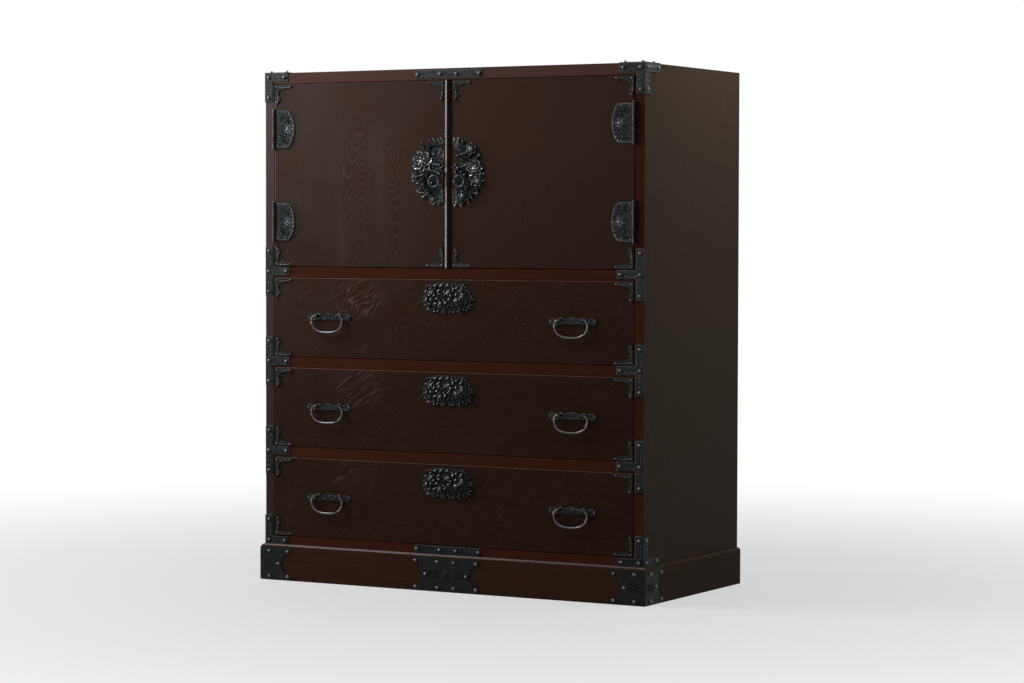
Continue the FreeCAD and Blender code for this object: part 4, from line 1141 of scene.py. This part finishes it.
hinge_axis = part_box("hinge_pins")[0].x + PIN_HEAD
hinge_face = door_face - HINGE_PLATE
for side, flip in (("left", 1), ("right", -1)):
    shape = bmesh.new()
    for height in (door_low.z + HINGE_INSET, door_high.z - HINGE_INSET):
        bit = hinge_chasing()
        set_down(bit, flip * hinge_axis, hinge_face, height, flip)
        pour(bit, shape)
    finish_piece(shape, f"{side}_hinge_chasing", f"{side}_door", [chased_iron, rubbed_iron, nail_iron])

# %% [markdown]
# Corner brackets. Each is a slim cut-out plate with two arms that swell and taper like leaves, nailed at
# the corner and the tips. Such an outline could be bevelled out of a block, but a flat closed curve that is
# filled and given a thickness is what a saw does to a sheet, so it is drawn that way, once for all corners.

# %% Corner brackets

BRACKET_OUTLINE = [
    (0, 0),
    (0, 0),
    (18, 0),
    (38, 0.4),
    (52, 1.4),
    (52, 1.4),
    (48, 6),
    (42, 9.6),
    (36, 7.2),
    (29, 8.2),
    (23, 12.6),
    (15, 10.6),
    (12, 13.6),
    (12.6, 19),
    (9.2, 23),
    (10, 28),
    (14.8, 31),
    (15.6, 37),
    (11, 42),
    (4, 50),
    (4, 50),
    (1.2, 38),
    (0, 18),
]
BRACKET = 1.6
BRACKET_LEAVES = (
    ((10, 4.8), 0.0, 15, 6),
    ((23, 4.4), 0.03, 18, 6),
    ((5.2, 10), math.pi / 2, 13, 6),
    ((6, 21), math.pi / 2 - 0.10, 18, 7.5),
    ((7, 7), math.pi / 4, 8, 4),
)


def cut_plate(shape, outline, thickness):
    """A flat plate with a smooth outline near the points given."""
    line = bpy.data.curves.new("outline", "CURVE")
    line.dimensions = "2D"
    line.fill_mode = "BOTH"
    line.extrude = thickness / 2
    add_spline(line, [(*place, 0) for place in outline], 3).use_cyclic_u = True
    bit = shape_of(line)
    bmesh.ops.remove_doubles(bit, verts=bit.verts[:], dist=0.01)
    pour(bit, shape, Matrix.Translation((0, 0, thickness / 2)))


def bracket():
    """A bracket for a lower left corner, from the corner itself."""
    shape = bmesh.new()
    for root, heading, length, width in BRACKET_LEAVES:
        lay_petal(shape, root, heading, length, width, 1.2, BRACKET - 0.2)
    thicken(shape)
    cut_plate(shape, BRACKET_OUTLINE, BRACKET)
    for x, y in ((45, 4.2), (5, 5), (7.5, 42)):
        add_bead(shape, x, y, 2.4, BRACKET + 0.2, finish=2)
    border = [(x, y, BRACKET) for x, y in BRACKET_OUTLINE[5:20]]
    add_wires(shape, [border], 0.6, finish=1)
    return shape


def bracket_set(front, body, plate, border):
    """The four brackets of one front, in the corners of the CAD fittings that they stand for."""
    node = f"{front}_corner_fittings"
    low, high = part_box(node)
    shape = bmesh.new()
    for x, flip in ((low.x, 1), (high.x, -1)):
        for z, rise in ((low.z, 1), (high.z, -1)):
            seat = Matrix.Translation((x, high.y, z)) @ FACE_FORWARD @ Matrix.Diagonal((flip, rise, 1, 1))
            pour(bracket(), shape, seat)
    piece = finish_piece(shape, f"{front}_brackets", body, [plate, border, nail_iron])
    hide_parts(node)


for door in each(sides, "door"):
    bracket_set(door, door, relief_iron, chased_iron)
for drawer in each(drawers, "drawer"):
    bracket_set(drawer, drawer, hinge_iron, relief_iron)

# %% [markdown]
# Pull plates. Behind every bail lies a long winged plate with two leaves to each side, a worn border and a
# ring round each eye. All of it could be drawn point by point, but the wings mirror each other, so only
# the right half of the border is written down.

# %% Chasing on the pull plates

PULL_BORDER = [(62, -1), (58, 4), (51, 5), (38, 2.2), (24, 2.4), (10, 4), (0, 8)]
PULL_PINS = ((0, 1.5), (59, -3), (-59, -3))
PULL_PLATE = 0.002
EYE_APART = 30
BAIL_RADIUS = 2.75


def pull_chasing():
    shape = bmesh.new()
    for side in (-1, 1):
        outward = math.pi * (side < 0)
        lay_leaf(shape, (38 * side, -3), outward - 0.06 * side, 20, 9, 1.2, SUNK)
        lay_leaf(shape, (6 * side, -3), outward, 16, 6, 1.0, SUNK)
    thicken(shape)
    for x, y in PULL_PINS:
        add_bead(shape, x, y, 2.0, 0.2, finish=2)
    right = [(x, y, 0.1) for x, y in PULL_BORDER]
    left = [(-x, y, 0.1) for x, y in reversed(PULL_BORDER[:-1])]
    add_wires(shape, [right + left], 0.9, finish=2)
    section = Matrix.Rotation(math.pi / 2, 4, "X") @ Matrix.Scale(1.3, 4)
    for x in (-EYE_APART, EYE_APART):
        wall = Matrix.Translation((x + 5, 0, 0.4)) @ section
        add_hoop(shape, wall, (x, 0, 0.4), (0, 0, 1), finish=2)
    return shape


def bail_axis(pull):
    """The middle of a bail across and in depth, and the height of the axis that it swings on."""
    low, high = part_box(f"{pull}_bail")
    return (low.x + high.x) / 2, (low.y + high.y) / 2, high.z - BAIL_RADIUS / 1000


for drawer in drawers:
    shape = bmesh.new()
    for side in sides:
        x, _, z = bail_axis(f"{drawer}_{side}")
        bit = pull_chasing()
        set_down(bit, x, door_face - PULL_PLATE, z)
        pour(bit, shape)
    finish_piece(shape, f"{drawer}_pull_chasing", f"{drawer}_drawer", [hinge_iron, hinge_iron, worn_iron])

# %% [markdown]
# The strip between the doors. It is a low moulding with a broad slope on each side, and in the
# photograph the left slope mirrors the window from top to bottom as one thin bright line. A wide bevel
# on a block gives equal slopes, so the block is stretched in depth before the bevel and pressed flat
# again after it. A second, small bevel softens the new edges.

# %% Sloped strip

SLOPE_WIDE = 0.0068
SLOPE_DEEP = 0.0038
SOFT = 0.0005
LONG = 0.1
strip_low, strip_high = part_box("meeting_strip")
strip_size = strip_high - strip_low
stretched = SLOPE_WIDE / SLOPE_DEEP


def bevel_edges(shape, edges, offset, segments):
    bmesh.ops.bevel(
        shape, geom=edges, offset=offset, affect="EDGES", segments=segments, profile=0.5, material=-1
    )


shape = bmesh.new()
bmesh.ops.create_cube(shape, size=1.0)
bmesh.ops.scale(shape, vec=(strip_size.x, strip_size.y * stretched, strip_size.z), verts=shape.verts[:])
front_edges = [
    edge
    for edge in shape.edges
    if all(vert.co.y < 0 for vert in edge.verts) and abs(edge.verts[0].co.z - edge.verts[1].co.z) > LONG
]
bevel_edges(shape, front_edges, SLOPE_WIDE, 1)
bmesh.ops.scale(shape, vec=(1, 1 / stretched, 1), verts=shape.verts[:])
long_edges = [
    edge
    for edge in shape.edges
    if edge.calc_length() > LONG and min(vert.co.y for vert in edge.verts) < strip_size.y / 2 - 0.001
]
bevel_edges(shape, long_edges, SOFT, 3)
bmesh.ops.translate(shape, vec=(strip_low + strip_high) / 2, verts=shape.verts[:])
shape.normal_update()
# Only the slope that faces left and forward gets the paler, shinier lacquer: its pale colour is a painted
# highlight.
for face in shape.faces:
    face.material_index = int(face.normal.x < -0.25 and face.normal.y < -0.25)
lacquers = [strip_lacquer, strip_highlight_lacquer]
strip = finish_piece(shape, "sloped_strip", "right_door", lacquers)
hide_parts("meeting_strip")

# %% [markdown]
# Bail pulls. Each is a round bar, thickest in the middle of the grip, that comes out of the two eyes,
# turns down in a full round shoulder and bows below. A smith bends it hot in one sweep, so it is drawn as
# one smooth curve with a thickness that changes along it.

# %% Bails

BAIL_HALF = [(26.6, 0), (36.5, 0), (41.5, -3), (44.5, -10), (44.5, -19), (40, -29), (30, -36.5), (15, -41)]
BAIL_SWELL = [0.82, 0.84, 0.86, 0.88, 0.91, 0.95, 1.0, 1.06]
grip = [(x, y, 0) for x, y in BAIL_HALF] + [(-x, y, 0) for x, y in reversed(BAIL_HALF)]
for pull in pulls:
    shape = bmesh.new()
    add_wires(shape, [grip], BAIL_RADIUS, sides=3, swell=BAIL_SWELL + BAIL_SWELL[::-1])
    set_down(shape, *bail_axis(pull))
    bail = finish_piece(shape, f"{pull}_round_bail", f"{pull}_bail", [worn_iron])
    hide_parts(f"{pull}_bail")

# %% [markdown]
# Straps of the frame. The corners, tees and bars are straps a finger wide, chased with a running vine
# between their dome nails. Each run of vine is pairs of leaves, drawn along a straight line, so one short
# function does all of them, and the left half is drawn once and flipped for the right.

# %% Vines on the straps

STRAP = 1.6
HALF_STRAP = 10.5
FOOT_STRAP = 9.5
HALF_TEE = 60.5
BAR_DROP = 13.5
PAIR_LENGTH = 13
VINE_START = 17
ARM_END = 55
FRONT_END = 50
SIDE_END = 59
TEE_RUN = (7, 43)
BAR_RUNS = ((-30, -79), (0, -16))


def in_millimetres(corner):
    return [round(1000 * value, 1) for value in corner]


left, front, base = in_millimetres(side_low)
top = in_millimetres(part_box("top_board")[1])[2]
tee_low, tee_high = [in_millimetres(corner)[2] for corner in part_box("rail_tee_fittings")]
rail_middles = (tee_low + HALF_TEE, (tee_low + tee_high) / 2, tee_high - HALF_TEE)
bar_heights = (top - BAR_DROP, base + HALF_STRAP)
print("middles of the rails", rail_middles)


def lay_vine(shape, start, end):
    """Pairs of leaves along a straight run of strap."""
    run = Vector(end) - Vector(start)
    count = max(1, round(run.length / PAIR_LENGTH))
    heading = math.atan2(run.y, run.x)
    bit = bmesh.new()
    for step in range(count):
        root = Vector(start) + run * ((step + 0.08) / count)
        for side in (-1, 1):
            lay_petal(bit, root, heading + side * 0.5, 0.95 * run.length / count, 5.2, 1.0, SUNK)
    pour(bit, shape)


def corner_vines(edge, reach):
    """The vines of the top and the foot corner on one face, from its edge to a reach along it."""
    along = edge + HALF_STRAP
    return [
        ((edge + VINE_START, top - HALF_STRAP), (edge + reach, top - HALF_STRAP)),
        ((along, top - VINE_START), (along, top - ARM_END)),
        ((edge + VINE_START, base + FOOT_STRAP), (edge + reach, base + FOOT_STRAP)),
        ((along, base + VINE_START), (along, base + ARM_END)),
    ]


stile = left + HALF_STRAP
front_vines = corner_vines(left, FRONT_END)
for start, end in BAR_RUNS:
    front_vines += [((start, height), (end, height)) for height in bar_heights]
for middle in rail_middles:
    front_vines.append(((left + VINE_START, middle), (left + ARM_END, middle)))
    for way in (1, -1):
        near, far = [(stile, middle + way * along) for along in TEE_RUN]
        front_vines.append((near, far))
side_vines = corner_vines(front, SIDE_END)
top_vines = [
    ((left + VINE_START, front + HALF_STRAP), (left + FRONT_END, front + HALF_STRAP)),
    ((stile, front + VINE_START), (stile, front + SIDE_END)),
]
FACE_SIDE = Matrix(((0, 0, 1, 0), (1, 0, 0, 0), (0, 1, 0, 0), (0, 0, 0, 1)))


def strap_seats(left, front):
    """Where straps lie on the front and on the right side, from the left and the front of the boards."""
    ahead = Matrix.Translation((0, (front - STRAP) / 1000, 0)) @ FACE_FORWARD
    beside = Matrix.Translation((-(left - STRAP) / 1000, 0, 0)) @ FACE_SIDE @ SHRINK
    return ahead, beside


front_seat, side_seat = strap_seats(left, front)
top_seat = Matrix.Translation((0, 0, (top + STRAP) / 1000)) @ SHRINK
vines = bmesh.new()
for runs, seat in ((front_vines, front_seat), (side_vines, side_seat), (top_vines, top_seat)):
    for flip in (-1, 1):
        bit = bmesh.new()
        for start, end in runs:
            lay_vine(bit, start, end)
        thicken(bit)
        pour(bit, vines, Matrix.Diagonal((flip, 1, 1, 1)) @ seat)
finish_piece(vines, "strap_vines", "carcass", [chased_iron, dull_iron])

# %% [markdown]
# The edges of the straps. A file has taken the sharpness off them, and the bare metal there catches the
# light as a thin line. A bevel would do it, but the straps are CAD pieces, which stay as they are, so a thin
# wire is laid along the edges that face up or to the window, half sunk in the iron.

# %% Filed edges of the straps

TOP_CORNER = [[(0.6, -0.6), (66.4, -0.6)]]
TOP_CORNER_OUT = [[(0.6, -71.4), (0.6, -0.6)]]
TOP_CORNER_IN = [[(20.4, -71.4), (20.4, -20.4)], [(66.4, -20.4), (66.4, -0.6)]]
FOOT_CORNER = [[(20.4, 18.4), (66.4, 18.4)], [(0.6, 71.4), (20.4, 71.4)]]
FOOT_CORNER_OUT = [[(0.6, 0.6), (0.6, 71.4)]]
FOOT_CORNER_IN = [[(20.4, 18.4), (20.4, 71.4)], [(66.4, 0.6), (66.4, 18.4)]]
TEE = [[(20.4, 9.9), (70.4, 9.9)], [(0.6, 59.9), (20.4, 59.9)]]
TEE_OUT = [[(0.6, -59.9), (0.6, 59.9)]]
TEE_IN = [[(20.4, -59.9), (20.4, -9.9)], [(20.4, 9.9), (20.4, 59.9)], [(70.4, -9.9), (70.4, 9.9)]]
BAR = [[(-94.2, 8.9), (94.2, 8.9)], [(-89.2, -8.9), (-94.2, 8.9)]]
FILED = 0.6


def edge_runs(lines, across, up, flip=1):
    """Straight runs along the edges given, moved to their place."""
    runs = []
    for start, end in lines:
        halfway = [(first + second) / 2 for first, second in zip(start, end)]
        runs.append([(flip * (across + x), up + y, 0) for x, y in (start, halfway, end)])
    return runs


edges = []
for flip, corner, foot, tee in (
    (1, TOP_CORNER_OUT, FOOT_CORNER_OUT, TEE_OUT),
    (-1, TOP_CORNER_IN, FOOT_CORNER_IN, TEE_IN),
):
    edges += edge_runs(TOP_CORNER + corner, left, top, flip)
    edges += edge_runs(FOOT_CORNER + foot, left, base, flip)
    for middle in rail_middles:
        edges += edge_runs(TEE + tee, left, middle, flip)
for height in bar_heights:
    edges += edge_runs(BAR, 0, height)
filed = bmesh.new()
add_wires(filed, edges, FILED)
set_down(filed, 0, (front - STRAP) / 1000, 0)
finish_piece(filed, "filed_edges", "carcass", [rubbed_iron])

# %% [markdown]
# Plinth plates. The irons at the corners and the middle of the plinth carry low flowers with leaves to all
# sides, so dark that only their rims show. They are drawn like the vines, on the left half, and flipped.

# %% Sprays on the plinth plates

plinth_left, plinth_front, _ = in_millimetres(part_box("plinth_front_board")[0])
plate_foot, plate_top = [in_millimetres(corner)[2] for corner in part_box("plinth_center_fitting")]
plinth_middle = (plate_foot + plate_top) / 2


def plinth_spray(shape, hearts, x, y, radius):
    """A low flower with leaves all round it."""
    lay_flower(shape, hearts, (x, y), radius, 6, 0.3, 1.4, SUNK)
    for heading in (35, 145, 215, 325, 0, 180):
        away = math.radians(heading)
        root = (x + 0.9 * radius * math.cos(away), y + 0.9 * radius * math.sin(away))
        lay_leaf(shape, root, away, 1.2 * radius, 0.55 * radius, 1.1, SUNK)


front_sprays = [(plinth_left + 26, 11), (0, 14), (-36, 8)]
side_sprays = [(plinth_front + 26, 11)]
sprays = bmesh.new()
for places, seat in zip((front_sprays, side_sprays), strap_seats(plinth_left, plinth_front)):
    for flip in (-1, 1):
        bit = bmesh.new()
        hearts = []
        for x, radius in places:
            if x != 0 or flip == 1:
                plinth_spray(bit, hearts, x, plinth_middle, radius)
        thicken(bit)
        add_hearts(bit, hearts, finish=0)
        pour(bit, sprays, Matrix.Diagonal((flip, 1, 1, 1)) @ seat)
finish_piece(sprays, "plinth_sprays", "carcass", [black_iron, relief_iron])
